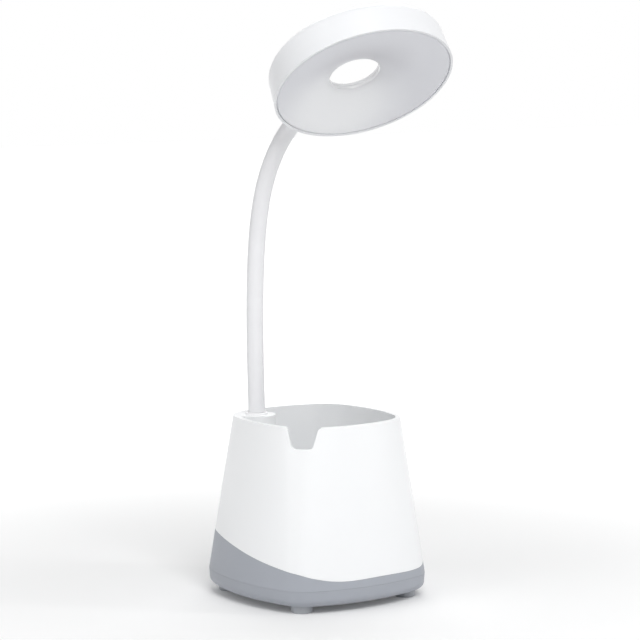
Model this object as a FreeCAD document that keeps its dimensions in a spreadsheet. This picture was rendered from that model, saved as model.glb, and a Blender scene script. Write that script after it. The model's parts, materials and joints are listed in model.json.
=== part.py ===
"""Gooseneck desk lamp whose base is a tapered pen cup.

The base is a rounded square that narrows towards its rim.  Its white cup has a pour-like notch in the
front left corner and carries the arm on a boss in the back left corner.  A grey skin wraps the foot of
the cup and rises in a wave towards the back.  The arm is a chain of sleeve links with domed ends, so it
keeps any bend it is given, and the head is a ring with a hole through its middle.

Frame: millimetres, +Z up, the front face looks along -Y, and the origin lies on the table under the
middle of the base.
"""

import FreeCAD
import Part
import Sketcher
import math
import os
import re

V = FreeCAD.Vector
UP = V(0, 0, 1)
FORWARD_AXIS = V(0, 1, 0)
SIDE_AXIS = V(1, 0, 0)

SIZES = {
    # Outline of the base, a rounded square given at the seam and at the rim
    "seam_half_width": 57.5,
    "seam_side_radius": 118,
    "seam_corner_radius": 19,
    "seam_height": 14.2,
    "rim_inset": 12.1,
    "rim_side_radius": 93,
    "rim_corner_radius": 25,
    "rim_height": 107.8,
    "overrun": 5,
    # Cup shell
    "wall": 3,
    "rim_round": 1.2,
    "well_floor_height": 36,
    "floor_thickness": 2.4,
    "notch_width": 18.5,
    "notch_floor_width": 12,
    "notch_depth": 12.5,
    "notch_floor_round": 3.6,
    "notch_lip_round": 2.2,
    "boss_radius": 11.5,
    "boss_wall": 2.4,
    "boss_deck": 13.8,
    "post_radius": 3.8,
    "pilot_radius": 1.3,
    "pilot_depth": 12,
    # Grey skin
    "skin_thickness": 1.5,
    "skin_gap": 0.1,
    "wave_low_height": 18.8,
    "wave_back_height": 39.9,
    "wave_turn": 4,
    # Bottom tray
    "tray_bottom": 4.5,
    "tray_foot_inset": 0.3,
    "tray_round": 5,
    "tray_floor": 2.5,
    "lip_thickness": 1.3,
    "lip_rise": 3,
    "foot_inset": 19.8,
    "foot_radius": 6.5,
    "foot_sink": 1.2,
    "foot_round": 0.8,
    "foot_gap": 0.1,
    "screw_boss_radius": 4.6,
    "screw_boss_height": 3,
    "screw_head_radius": 2.8,
    "screw_head_height": 2,
    "screw_shank_radius": 1.25,
    "screw_grip": 8,
    "screw_gap": 0.2,
    # Weight and cell
    "plate_side_inset": 26.5,
    "plate_front_inset": 11.5,
    "plate_thickness": 5,
    "plate_back_inset": 33.5,
    "plate_round": 4,
    "cell_radius": 9.2,
    "cell_length": 65,
    "cell_back_inset": 49.5,
    "cell_button_radius": 3,
    "cell_button_height": 1,
    "cradle_floor": 1.2,
    "cradle_wall": 2.2,
    "cradle_height": 9,
    "cradle_gap": 0.3,
    # Main board and what it carries
    "board_side_inset": 27.5,
    "board_back_inset": 6.5,
    "board_depth": 22.6,
    "board_corner_cut": 6,
    "board_thickness": 1.6,
    "board_top": 19,
    "standoff_radius": 2.6,
    "standoff_inset": 5,
    "board_screw_radius": 0.9,
    "board_screw_head": 1.9,
    "board_screw_rise": 1.2,
    "chip_width": 5,
    "chip_height": 1.2,
    "coil_radius": 3,
    "coil_height": 2.8,
    "plug_width": 7,
    "plug_depth": 5,
    "plug_height": 5,
    "plug_back_inset": 21.5,
    # Charging socket
    "socket_width": 8.94,
    "socket_height": 3.26,
    "socket_length": 7.6,
    "socket_set_back": 2.3,
    "socket_wall": 0.3,
    "socket_round": 1.55,
    "socket_gap": 0.5,
    "tongue_width": 6.6,
    "tongue_thickness": 0.7,
    "tongue_length": 4.6,
    # Push button
    "button_height": 28,
    "button_radius": 3.8,
    "button_gap": 0.3,
    "button_proud": 1.3,
    "button_round": 0.6,
    "flange_radius": 4.8,
    "flange_thickness": 1.2,
    "flange_gap": 1.3,
    "button_travel": 1,
    "plunger_radius": 1.5,
    "plunger_length": 3.8,
    "plunger_gap": 0.3,
    "switch_width": 6,
    "switch_depth": 3.5,
    "switch_reach": 2.5,
    "switch_board_width": 14,
    "switch_board_height": 14.2,
    # Foot of the arm
    "arm_inset": 19.7,
    "ferrule_radius": 4,
    "ferrule_bore": 2.3,
    "ferrule_gap": 0.1,
    "ferrule_rise": 4.8,
    "ferrule_tail": 8,
    "washer_radius": 7.6,
    "washer_thickness": 1.2,
    "nut_across": 13,
    "nut_height": 5,
    "collar_radius": 6.7,
    "collar_height": 1.4,
    "collar_round": 0.6,
    # Arm
    "arm_radius": 5.15,
    "arm_bore": 3.5,
    "core_radius": 3.4,
    "core_bore": 2,
    "joint_gap": 0.3,
    "joint_lift": 2.2,
    "core_start": 6,
    "arm_azimuth": -74,
    "arm_lean": -1.8,
    "root_length": 10.6,
    "link_length": 23.4,
    "turn_one": 0.5,
    "turn_two": 1.3,
    "turn_three": 1.9,
    "turn_four": 3.3,
    "turn_five": 7.1,
    "turn_six": 12.5,
    "turn_seven": 15.8,
    "neck_length": 12,
    "neck_turn": 15.5,
    # Head, a ring on its own axis with the hole a little towards the neck
    "head_roll": -15.2,
    "head_radius": 53,
    "head_top_inset": 0.9,
    "head_height": 21.4,
    "head_round": 5.6,
    "head_wall": 1.8,
    "hole_offset": 4.1,
    "hole_radius": 16.4,
    "dish_floor": 13.2,
    "dish_radius": 43,
    "rim_lip": 1.3,
    "ledge_gap": 0.8,
    "neck_height": 10.9,
    # Diffuser, its throat and the ring that lines the hole
    "diffuser_gap": 0.1,
    "diffuser_thickness": 1.5,
    "throat_radius": 15.1,
    "throat_height": 9.6,
    "liner_wall": 1.2,
    "liner_flange": 2,
    "liner_flange_height": 0.9,
    # Light board
    "led_board_inner": 24,
    "led_board_outer": 39,
    "led_board_top": 10.8,
    "led_board_thickness": 1.6,
    "led_circle": 32.5,
    "led_count": 24,
    "led_length": 3.5,
    "led_width": 2.8,
    "led_height": 0.8,
    "led_screw_circle": 27,
    "led_screw_count": 3,
    "led_screw_radius": 1,
    "led_screw_head": 2,
    "led_screw_head_height": 1.2,
    "led_screw_grip": 3.5,
    "led_boss_radius": 2.8,
    # Ferrule and nut that hold the head on the arm
    "neck_ferrule_radius": 3.2,
    "neck_ferrule_bore": 2,
    "neck_ferrule_out": 4,
    "neck_ferrule_in": 7.8,
    "neck_nut_across": 10,
    "neck_nut_height": 3,
    "neck_nut_place": 50,
    # Leads
    "lead_radius": 1.5,
    "lead_bend": 6,
    "wire_radius": 0.65,
    "wire_bend": 2.5,
    "wire_pitch": 1.8,
    "wire_run": 5,
    "wire_turn": 8,
    "wire_crest": 4,
    "wire_tight_bend": 1.04,
    "wire_spread_share": 2,
    "wire_wide_share": 2.6,
    "lead_height_share": 0.62,
    # Shares of the sizes that they follow
    "notch_spot_share": 0.866,
    "screw_recess_share": 0.4,
    "screw_recess_depth_share": 0.5,
    "dish_wall_share": 1.1,
    "led_grip_share": 0.8,
    "upright_share": 0.9,
}

# Where the parts lie on the board: shares of its length from the middle and of its depth from the back
CHIP_SHARES = ((-0.3, 0.85), (0, 0.5), (-0.22, 0.3))
COIL_SHARES = (0.22, 0.2)

# Places and sizes that follow from the ones above
PLACES = {
    "rim_half_width": "seam_half_width - rim_inset",
    "notch_spot": "rim_half_width * notch_spot_share",
    "foot_spot": "seam_half_width - foot_inset",
    "arm_place": "rim_half_width - arm_inset",
    "ferrule_top": "rim_height + collar_height + ferrule_rise",
    "plate_length": "2 * (seam_half_width - plate_side_inset)",
    "plate_back": "seam_half_width - plate_back_inset",
    "plate_depth": "plate_back + seam_half_width - plate_front_inset",
    "cell_place": "seam_half_width - cell_back_inset",
    "board_length": "2 * (seam_half_width - board_side_inset)",
    "board_back": "seam_half_width - board_back_inset",
    "plug_place": "seam_half_width - plug_back_inset",
    "socket_mouth": "seam_half_width - socket_set_back",
    "button_wall": "seam_half_width - rim_inset * (button_height - seam_height) / (rim_height - seam_height)",
    "button_face": "button_wall + button_proud",
    "flange_front": "button_wall - wall - flange_gap",
    "switch_front": "flange_front - flange_thickness - switch_reach",
    "dish_slope": "(head_height - dish_floor) / (dish_radius - hole_radius)",
}

LINK_TURNS = ("turn_one", "turn_two", "turn_three", "turn_four", "turn_five", "turn_six", "turn_seven")
# Points of the wave line: shares of the base's half width, and of the way from its low to its back height
WAVE_SHARES = (
    (-1.0, 0.02), (-0.93, 0.0), (-0.86, 0.08), (-0.77, 0.208), (-0.62, 0.31),
    (-0.26, 0.475), (0.26, 0.735), (0.74, 0.92), (1.0, 1.0),
)

doc = FreeCAD.newDocument("desk_lamp")
sheet = doc.addObject("Spreadsheet::Sheet", "Sizes")
place_sheet = doc.addObject("Spreadsheet::Sheet", "Places")
parts = {}


def fill_sheets():
    """Put every driving size in one sheet, and what follows from them in the other."""
    for row, (alias, value) in enumerate(SIZES.items(), start=1):
        sheet.set(f"A{row}", alias)
        sheet.set(f"B{row}", str(value))
        sheet.setAlias(f"B{row}", alias)
    doc.recompute()
    for row, (alias, expression) in enumerate(PLACES.items(), start=1):
        place_sheet.set(f"A{row}", alias)
        place_sheet.setAlias(f"B{row}", alias)
        place_sheet.set(f"B{row}", "=" + linked(expression))
    doc.recompute()


def size(alias):
    """Read one size or place from its sheet."""
    return float((sheet if alias in SIZES else place_sheet).get(alias))


def sheet_name(match):
    """A name in an expression, with its sheet in front."""
    name = match.group()
    if name in SIZES:
        return f"Sizes.{name}"
    return f"Places.{name}" if name in PLACES else name


def linked(expression):
    """Point each name in an expression at its sheet."""
    return re.sub(r"[a-z_]+", sheet_name, expression)


def bind(thing, **expressions):
    """Bind properties of an object to the sheet."""
    for name, expression in expressions.items():
        thing.setExpression(name, linked(expression))
    return thing


def put(thing, x="0", y="0", z="0", rotation=None):
    """Place an object by expressions, turned by a fixed rotation."""
    if rotation is not None:
        thing.Placement.Rotation = rotation
    for axis, expression in (("x", x), ("y", y), ("z", z)):
        if expression != "0":
            thing.setExpression(f"Placement.Base.{axis}", linked(expression))
    return thing


def cylinder(name, radius, height, x="0", y="0", z="0", rotation=None):
    """A cylinder that stands on its placed point."""
    rod = bind(doc.addObject("Part::Cylinder", name), Radius=radius, Height=height)
    return put(rod, x, y, z, rotation)


def cone(name, low_radius, high_radius, height, x="0", y="0", z="0"):
    """A cone or funnel that stands on its placed point."""
    thing = bind(doc.addObject("Part::Cone", name), Radius1=low_radius, Radius2=high_radius, Height=height)
    return put(thing, x, y, z)


def box(name, length, width, height, x="0", y="0", z="0", rotation=None):
    """A box with its low corner at the placed point."""
    block = bind(doc.addObject("Part::Box", name), Length=length, Width=width, Height=height)
    return put(block, x, y, z, rotation)


def hexagon(name, across, height, x="0", y="0", z="0", rotation=None):
    """A nut's six-sided block, given across its flats."""
    block = doc.addObject("Part::Prism", name)
    block.Polygon = 6
    bind(block, Circumradius=f"({across}) / sqrt(3)", Height=height)
    return put(block, x, y, z, rotation)


def fuse(name, *things):
    """Join objects into one."""
    joined = doc.addObject("Part::MultiFuse", name)
    joined.Shapes = list(things)
    return joined


def common(name, first, second):
    """Keep what two objects share."""
    shared = doc.addObject("Part::MultiCommon", name)
    shared.Shapes = [first, second]
    return shared


def cut(name, base, *tools):
    """Take tools away from a base."""
    left = doc.addObject("Part::Cut", name)
    left.Base = base
    left.Tool = tools[0] if len(tools) == 1 else fuse(f"{name}_tools", *tools)
    return left


def group(name, things):
    """Keep several solids as one sub-part."""
    several = doc.addObject("Part::Compound", name)
    several.Links = list(things)
    return several


def feature(name, shape):
    """An object whose shape comes from the part functions."""
    thing = doc.addObject("Part::Feature", name)
    thing.Shape = shape
    return thing


def softened(name, base, radius, picks):
    """Round the edges of a base that a test picks."""
    doc.recompute()
    thing = doc.addObject("Part::Fillet", name)
    thing.Base = base
    edges = [i for i, edge in enumerate(base.Shape.Edges, start=1) if picks(edge)]
    thing.Edges = [(i, radius, radius) for i in edges]
    return thing


def outline(body, name, corners, plane_role):
    """A closed sketch of straight lines, each corner bound to the sheet."""
    sketch = body.newObject("Sketcher::SketchObject", name)
    plane = next(o for o in body.Origin.OriginFeatures if o.Role == plane_role)
    sketch.AttachmentSupport = [(plane, "")]
    sketch.MapMode = "FlatFace"
    count = len(corners)
    starts = [V(math.cos(2 * math.pi * i / count), math.sin(2 * math.pi * i / count), 0) for i in range(count)]
    for i in range(count):
        sketch.addGeometry(Part.LineSegment(starts[i], starts[(i + 1) % count]), False)
    for i in range(count):
        sketch.addConstraint(Sketcher.Constraint("Coincident", i, 2, (i + 1) % count, 1))
    for i, corner in enumerate(corners):
        for kind, expression in zip(("DistanceX", "DistanceY"), corner):
            index = sketch.addConstraint(Sketcher.Constraint(kind, -1, 1, i, 1, 1.0))
            sketch.setExpression(f"Constraints[{index}]", linked(expression))
    return sketch


def turned(name, corners):
    """A body turned about its own Z axis from corners of radius and height."""
    body = doc.addObject("PartDesign::Body", name)
    sketch = outline(body, f"{name}_outline", corners, "XZ_Plane")
    turn = body.newObject("PartDesign::Revolution", f"{name}_turn")
    turn.Profile = sketch
    turn.ReferenceAxis = (sketch, ["V_Axis"])
    turn.Angle = 360
    return body


def padded(name, corners, length, plane_role="XZ_Plane"):
    """A body padded to both sides of its sketch."""
    body = doc.addObject("PartDesign::Body", name)
    sketch = outline(body, f"{name}_outline", corners, plane_role)
    pad = body.newObject("PartDesign::Pad", f"{name}_pad")
    pad.Profile = sketch
    pad.Midplane = True
    bind(pad, Length=length)
    return body


def round_body(body, radius, picks):
    """Add a fillet to a body on the edges that a test picks."""
    doc.recompute()
    last = body.Tip
    fillet = body.newObject("PartDesign::Fillet", f"{body.Name}_round")
    edges = [f"Edge{i}" for i, edge in enumerate(last.Shape.Edges, start=1) if picks(edge)]
    fillet.Base = (last, edges)
    bind(fillet, Radius=radius)
    return body


def copied(name, source, placement):
    """A linked copy of a finished object at its own place."""
    twin = doc.addObject("Part::Feature", name)
    twin.Shape = source.Shape
    twin.Placement = placement
    return twin


def at_height(edge, height):
    """True for an edge that lies flat at a height."""
    bounds = edge.BoundBox
    near = size("skin_gap")
    return abs(bounds.ZMin - height) < near and abs(bounds.ZMax - height) < near


def keep(node, thing, placement=None):
    """Name a finished sub-part, move it into place and remember it."""
    thing.Label = node
    if placement is not None:
        thing.Placement = placement.multiply(thing.Placement)
    parts[node] = thing
    return thing


def rounded_square(half_width, side_radius, corner_radius, height):
    """A closed wire of four long side arcs and four tangent corner arcs."""
    back_off = side_radius - half_width
    reach = side_radius - corner_radius
    corner = (math.sqrt(2 * reach**2 - back_off**2) - back_off) / 2
    opening = math.atan2(corner, corner + back_off)
    edges = []
    for quarter in range(4):
        turn = FreeCAD.Rotation(UP, math.degrees(quarter * math.pi / 2))
        side = [V(side_radius * math.cos(a) - back_off, side_radius * math.sin(a), height)
                for a in (-opening, 0, opening)]
        bends = (opening, math.pi / 4, math.pi / 2 - opening)
        bend = [V(corner + corner_radius * math.cos(a), corner + corner_radius * math.sin(a), height)
                for a in bends]
        for points in (side, bend):
            edges.append(Part.Arc(*[turn.multVec(p) for p in points]).toShape())
    return Part.Wire(edges)


def base_section(name, height, inset):
    """The base's outline at a height, drawn in by an inset."""
    share = (height - size("seam_height")) / (size("rim_height") - size("seam_height"))
    sizes = [size(f"seam_{key}") * (1 - share) + size(f"rim_{key}") * share - inset
             for key in ("half_width", "side_radius", "corner_radius")]
    return feature(name, rounded_square(*sizes, height))


def tapered(name, low, high, inset=0):
    """A solid between two outlines of the tapered base."""
    block = doc.addObject("Part::Loft", name)
    block.Sections = [base_section(f"{name}_low", low, inset), base_section(f"{name}_high", high, inset)]
    block.Solid = True
    block.Ruled = True
    return block


def wave_zone(name, ceiling):
    """Everything under the wave line, or above it up to a ceiling."""
    half = size("seam_half_width")
    reach = half + size("rim_inset")
    low = size("wave_low_height")
    rise = size("wave_back_height") - low
    heights = [V(0, place * half, low + share * rise) for place, share in WAVE_SHARES]
    curve = Part.BSplineCurve()
    curve.interpolate(heights)
    front = V(0, -reach, heights[0].z)
    back = V(0, reach, heights[-1].z)
    far = V(0, reach, ceiling)
    near = V(0, -reach, ceiling)
    points = [(front, heights[0]), (heights[-1], back), (back, far), (far, near), (near, front)]
    edges = [Part.makeLine(*pair) for pair in points]
    edges.insert(1, curve.toShape())
    slab = feature(f"{name}_side", Part.Face(Part.Wire(edges)))
    zone = doc.addObject("Part::Extrusion", name)
    zone.Base = slab
    zone.Dir = SIDE_AXIS
    zone.DirMode = "Custom"
    zone.Symmetric = True
    bind(zone, LengthFwd="2 * (seam_half_width + rim_inset)")
    zone.Solid = True
    zone.Placement.Rotation = FreeCAD.Rotation(UP, size("wave_turn"))
    return zone


def corner_places(inward):
    """The four corners of a square, as signed expressions."""
    return [(f"{sx}{inward}", f"{sy}{inward}") for sx in ("", "-") for sy in ("", "-")]


def back_opening(name):
    """What the wall leaves open at the back: the button's hole and the socket's slot."""
    facing_back = FreeCAD.Rotation(SIDE_AXIS, -90)
    depth = "seam_half_width - flange_front + overrun"
    hole = cylinder(f"{name}_button", "button_radius + button_gap", depth,
                    y="flange_front", z="button_height", rotation=facing_back)
    slot_radius = "(socket_height / 2 + socket_gap)"
    middle = "(board_top + socket_height / 2)"
    side = "(socket_width / 2 - socket_height / 2)"
    ends = [cylinder(f"{name}_end_{i}", slot_radius, depth, x=f"{sign}{side}", y="flange_front",
                     z=middle, rotation=facing_back) for i, sign in enumerate(("", "-"))]
    bridge = box(f"{name}_bridge", f"2 * {side}", depth, f"2 * {slot_radius}",
                 x=f"-{side}", y="flange_front", z=f"{middle} - {slot_radius}")
    return fuse(name, hole, bridge, *ends)


def make_cup_shell():
    """White cup: outer wall, well floor, arm boss, notch and the four screw posts."""
    rim = size("rim_height")
    over = size("overrun")
    wall = size("wall")
    floor = size("well_floor_height")
    seam = size("seam_height")
    outer = tapered("cup_outer", seam, rim)
    well = tapered("cup_well", floor, rim + over, wall)
    under = tapered("cup_under", seam - over, floor - size("floor_thickness"), wall)
    corner_turn = FreeCAD.Rotation(UP, 45)
    column = cylinder("boss_column", "boss_radius", "rim_height - seam_height",
                      "-arm_place", "arm_place", "seam_height")
    fill = box("boss_fill", "2 * boss_radius", "rim_half_width", "rim_height - seam_height",
               "-arm_place - boss_radius / sqrt(2)", "arm_place - boss_radius / sqrt(2)",
               "seam_height", corner_turn)
    boss = fuse("boss", column, fill)
    well_left = cut("well_left", well, boss)
    hollow = cylinder("boss_hollow", "boss_radius - boss_wall", "rim_height - boss_deck - seam_height",
                      "-arm_place", "arm_place", "seam_height")
    throat = cylinder("boss_throat", "ferrule_radius + ferrule_gap", "rim_height",
                      "-arm_place", "arm_place", "seam_height")
    lower_skin = tapered("rebate_inside", seam - over, rim, size("skin_thickness") + size("skin_gap"))
    rebate = cut("rebate", wave_zone("under_wave", seam - over), lower_skin)
    notch = padded("notch", [
        ("-notch_floor_width / 2", "rim_height - notch_depth"),
        ("notch_floor_width / 2", "rim_height - notch_depth"),
        ("notch_width / 2", "rim_height"),
        ("notch_width / 2 + notch_lip_round", "rim_height"),
        ("notch_width / 2 + notch_lip_round", "rim_height + overrun"),
        ("-notch_width / 2 - notch_lip_round", "rim_height + overrun"),
        ("-notch_width / 2 - notch_lip_round", "rim_height"),
        ("-notch_width / 2", "rim_height"),
    ], "seam_half_width / 2")
    low = rim - size("notch_depth")
    upright = size("upright_share")
    round_body(notch, "notch_floor_round",
               lambda e: at_height(e, low) and abs(e.tangentAt(e.FirstParameter).y) > upright)
    spot = size("notch_spot")
    lip = size("notch_width") / 2
    near = size("skin_gap")
    lipped = softened("notch_lips", notch, size("notch_lip_round"),
                      lambda e: at_height(e, rim) and abs(abs(e.CenterOfMass.x) - lip) < near)
    lipped.Placement = FreeCAD.Placement(V(-spot, -spot, 0), FreeCAD.Rotation(UP, -45))
    posts = [cylinder(f"post_{i}", "post_radius", "well_floor_height - tray_bottom - tray_floor"
                      " - screw_boss_height", x, y, "tray_bottom + tray_floor + screw_boss_height")
             for i, (x, y) in enumerate(corner_places("foot_spot"))]
    pilots = [cylinder(f"pilot_{i}", "pilot_radius", "pilot_depth", x, y,
                       "tray_bottom + tray_floor + screw_boss_height")
              for i, (x, y) in enumerate(corner_places("foot_spot"))]
    carved = cut("cup_carved", outer, well_left, under)
    shell = fuse("cup_with_posts", carved, *posts)
    opened = cut("cup_opened", shell, hollow, rebate, lipped, back_opening("cup_back"), *pilots)
    inward = V(-spot, -spot, 0).normalize()
    boss_middle = V(-size("arm_place"), size("arm_place"), 0)

    def on_rim(edge):
        """True for the rim's edges, along the notch too, but not for those across its wall."""
        middle = edge.CenterOfMass
        if at_height(edge, rim):
            return True
        beside = abs(middle.x - middle.y) < size("notch_width") + near and middle.x < 0
        along = abs(edge.tangentAt((edge.FirstParameter + edge.LastParameter) / 2).dot(inward))
        return beside and edge.BoundBox.ZMax > low - near and along < upright

    rounded = softened("cup_rounded", opened, size("rim_round"), on_rim)
    keep("cup_shell", cut("cup_bored", rounded, throat))


def make_base_skin():
    """Grey skin around the foot of the cup, cut to the wave line."""
    seam = size("seam_height")
    rim = size("rim_height")
    over = size("overrun")
    outer = tapered("skin_outer", seam, rim)
    inner = tapered("skin_inner", seam - over, rim + over, size("skin_thickness"))
    low_part = common("skin_low_part", outer, wave_zone("skin_wave", seam - over))
    keep("base_skin", cut("base_skin_body", low_part, inner, back_opening("skin_back")))


def make_tray():
    """Bottom tray with its inner lip, screw bosses, board standoffs and foot recesses."""
    seam = size("seam_height")
    low = size("tray_bottom")
    over = size("overrun")
    flat = doc.addObject("Part::Loft", "tray_block")
    lower = [size("seam_half_width"), size("seam_side_radius"), size("seam_corner_radius")]
    drawn = [value - size("tray_foot_inset") for value in lower]
    flat.Sections = [feature("tray_low", rounded_square(*drawn, low)),
                     feature("tray_high", rounded_square(*lower, seam))]
    flat.Solid = True
    flat.Ruled = True
    dish = softened("tray_dish", flat, size("tray_round"), lambda e: at_height(e, low))
    lip_gap = size("wall") + size("skin_gap")
    lip = tapered("tray_lip", seam - size("lip_rise"), seam + size("lip_rise"), lip_gap)
    hollow = tapered("tray_hollow", low + size("tray_floor"), seam + size("lip_rise") + over,
                     lip_gap + size("lip_thickness"))
    floor_top = "tray_bottom + tray_floor"
    walls = cut("tray_walls", fuse("tray_with_lip", dish, lip), hollow)
    bosses = [cylinder(f"tray_boss_{i}", "screw_boss_radius", "tray_floor + screw_boss_height",
                       x, y, "tray_bottom") for i, (x, y) in enumerate(corner_places("foot_spot"))]
    standoffs = [cylinder(f"standoff_{i}", "standoff_radius",
                          f"board_top - board_thickness - ({floor_top}) + tray_floor / 2", x, y,
                          f"{floor_top} - tray_floor / 2")
                 for i, (x, y) in enumerate(board_screw_places())]
    solid = fuse("tray_solid", walls, *bosses, *standoffs)
    holes = []
    for i, (x, y) in enumerate(corner_places("foot_spot")):
        holes.append(cylinder(f"foot_recess_{i}", "foot_radius + foot_gap", "foot_sink + overrun",
                              x, y, "tray_bottom - overrun"))
        holes.append(cylinder(f"head_recess_{i}", "screw_head_radius + screw_gap",
                              "foot_sink + screw_head_height", x, y, "tray_bottom"))
        holes.append(cylinder(f"shank_hole_{i}", "screw_shank_radius + screw_gap",
                              "tray_floor + screw_boss_height + overrun", x, y, "tray_bottom"))
    for i, (x, y) in enumerate(board_screw_places()):
        holes.append(cylinder(f"standoff_pilot_{i}", "board_screw_radius", "pilot_depth / 2", x, y,
                              "board_top - board_thickness - pilot_depth / 2"))
    keep("bottom_tray", cut("tray_body", solid, *holes))


def make_feet():
    """Four rubber feet, each pressed into its recess over a screw head."""
    feet = []
    for i, (x, y) in enumerate(corner_places("foot_spot")):
        pad = cylinder(f"foot_{i}", "foot_radius", "tray_bottom + foot_sink", x, y)
        feet.append(softened(f"foot_round_{i}", pad, size("foot_round"), lambda e: at_height(e, 0)))
    keep("rubber_feet", group("feet", feet))


def screw(name, x, y, seat, head_radius, head_height, shank_radius, grip, facing_up):
    """A pan-head screw with a round drive recess, its head on a seat."""
    rise = f"{seat}" if facing_up else f"{seat} - ({head_height})"
    head = cylinder(f"{name}_head", head_radius, head_height, x, y, rise)
    start = f"{seat} - ({grip})" if facing_up else seat
    shank = cylinder(f"{name}_shank", shank_radius, grip, x, y, start)
    depth = f"({head_height}) * screw_recess_depth_share"
    recess_start = f"{rise} + ({head_height}) - {depth}" if facing_up else rise
    recess = cylinder(f"{name}_recess", f"({head_radius}) * screw_recess_share", depth, x, y, recess_start)
    return cut(name, fuse(f"{name}_solid", head, shank), recess)


def make_base_screws():
    """Four screws that hold the tray under the cup."""
    seat = "tray_bottom + foot_sink + screw_head_height"
    screws = [screw(f"base_screw_{i}", x, y, seat, "screw_head_radius", "screw_head_height",
                    "screw_shank_radius", "screw_grip", False)
              for i, (x, y) in enumerate(corner_places("foot_spot"))]
    keep("base_screws", group("base_screw_set", screws))


def make_weight_and_cell():
    """Steel plate, the cell on it and the cradle between them."""
    upright = size("upright_share")
    floor_top = "tray_bottom + tray_floor"
    plate = box("plate", "plate_length", "plate_depth", "plate_thickness", "-plate_length / 2",
                "plate_back - plate_depth", floor_top)
    keep("ballast_plate", softened("plate_rounded", plate, size("plate_round"),
                                   lambda e: abs(e.tangentAt(e.FirstParameter).z) > upright))
    lying = FreeCAD.Rotation(FORWARD_AXIS, 90)
    plate_top = f"{floor_top} + plate_thickness"
    middle = f"{plate_top} + cradle_floor + cell_radius + cradle_gap"
    can = cylinder("can", "cell_radius", "cell_length", "-cell_length / 2", "cell_place", middle, lying)
    button = cylinder("can_button", "cell_button_radius", "cell_button_height", "cell_length / 2",
                      "cell_place", middle, lying)
    keep("battery_cell", fuse("cell", can, button))
    long_side = "cell_length + 2 * (cradle_wall + cradle_gap + cell_button_height)"
    wide_side = "2 * (cell_radius + cradle_gap + cradle_wall)"
    tub = box("tub", long_side, wide_side, "cradle_height", f"-({long_side}) / 2",
              f"cell_place - ({wide_side}) / 2", plate_top)
    groove = cylinder("tub_groove", "cell_radius + cradle_gap",
                      "cell_length + 2 * (cradle_gap + cell_button_height)",
                      "-cell_length / 2 - cradle_gap - cell_button_height", "cell_place", middle, lying)
    window = box("tub_window", "cell_length / 2", f"{wide_side} + 2 * overrun", "cradle_height",
                 "-cell_length / 4", f"cell_place - ({wide_side}) / 2 - overrun",
                 f"{plate_top} + cradle_height / 2")
    keep("battery_cradle", cut("cradle", tub, groove, window))


def board_screw_places():
    """Where the main board is screwed down."""
    side = "(board_length / 2 - standoff_inset)"
    front = "(board_back - board_depth + standoff_inset)"
    back = "(board_back - standoff_inset)"
    return [(side, front), (f"-{side}", back), (side, back)]


def make_main_board():
    """Charging board with its parts, screws and the two lead connectors."""
    low = "board_top - board_thickness"
    plain = box("board_plain", "board_length", "board_depth", "board_thickness", "-board_length / 2",
                "board_back - board_depth", low)
    holes = [cylinder(f"board_hole_{i}", "board_screw_radius + screw_gap", "board_thickness + overrun",
                      x, y, f"{low} - overrun / 2") for i, (x, y) in enumerate(board_screw_places())]
    edge = "(board_corner_cut * sqrt(2))"
    corners = [box(f"board_corner_{i}", edge, edge, "board_thickness + overrun",
                   f"{sign}board_length / 2", f"board_back - {edge} / sqrt(2)", f"{low} - overrun / 2",
                   FreeCAD.Rotation(UP, 45)) for i, sign in enumerate(("", "-"))]
    keep("main_board", cut("board", plain, *holes, *corners))
    chips = [box(f"chip_{i}", "chip_width", "chip_width", "chip_height",
                 f"board_length * {across} - chip_width / 2",
                 f"board_back - board_depth * {back} - chip_width / 2", "board_top")
             for i, (across, back) in enumerate(CHIP_SHARES)]
    coil = cylinder("coil", "coil_radius", "coil_height", f"board_length * {COIL_SHARES[0]}",
                    f"board_back - board_depth * {COIL_SHARES[1]}", "board_top")
    keep("board_parts", group("board_part_set", chips + [coil]))
    screws = [screw(f"board_screw_{i}", x, y, "board_top", "board_screw_head", "board_screw_rise",
                    "board_screw_radius", "pilot_depth / 2", True)
              for i, (x, y) in enumerate(board_screw_places())]
    keep("board_screws", group("board_screw_set", screws))
    plugs = [box("lamp_plug", "plug_width", "plug_depth", "plug_height", "-arm_place - plug_width / 2",
                 "plug_place - plug_depth / 2", "board_top"),
             box("cell_plug", "plug_width", "plug_depth", "plug_height",
                 "board_length / 2 - standoff_inset * 2 - plug_width",
                 "plug_place - plug_depth / 2", "board_top")]
    keep("lead_plugs", group("lead_plug_set", plugs))


def make_socket():
    """Charging socket: a rounded metal mouth with its tongue."""
    upright = size("upright_share")
    start = "socket_mouth - socket_length"
    block = box("socket_block", "socket_width", "socket_length", "socket_height", "-socket_width / 2",
                start, "board_top")
    shell = softened("socket_shell", block, size("socket_round"),
                     lambda e: abs(e.tangentAt(e.FirstParameter).y) > upright)
    room = box("socket_room", "socket_width - 2 * socket_wall", "socket_length", "socket_height"
               " - 2 * socket_wall", "-socket_width / 2 + socket_wall", f"{start} + socket_wall",
               "board_top + socket_wall")
    room_round = softened("socket_room_round", room, size("socket_round") - size("socket_wall"),
                          lambda e: abs(e.tangentAt(e.FirstParameter).y) > upright)
    tongue = box("tongue", "tongue_width", "tongue_length + socket_wall", "tongue_thickness",
                 "-tongue_width / 2", start, "board_top + socket_height / 2 - tongue_thickness / 2")
    keep("charging_socket", fuse("socket", cut("socket_open", shell, room_round), tongue))


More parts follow.
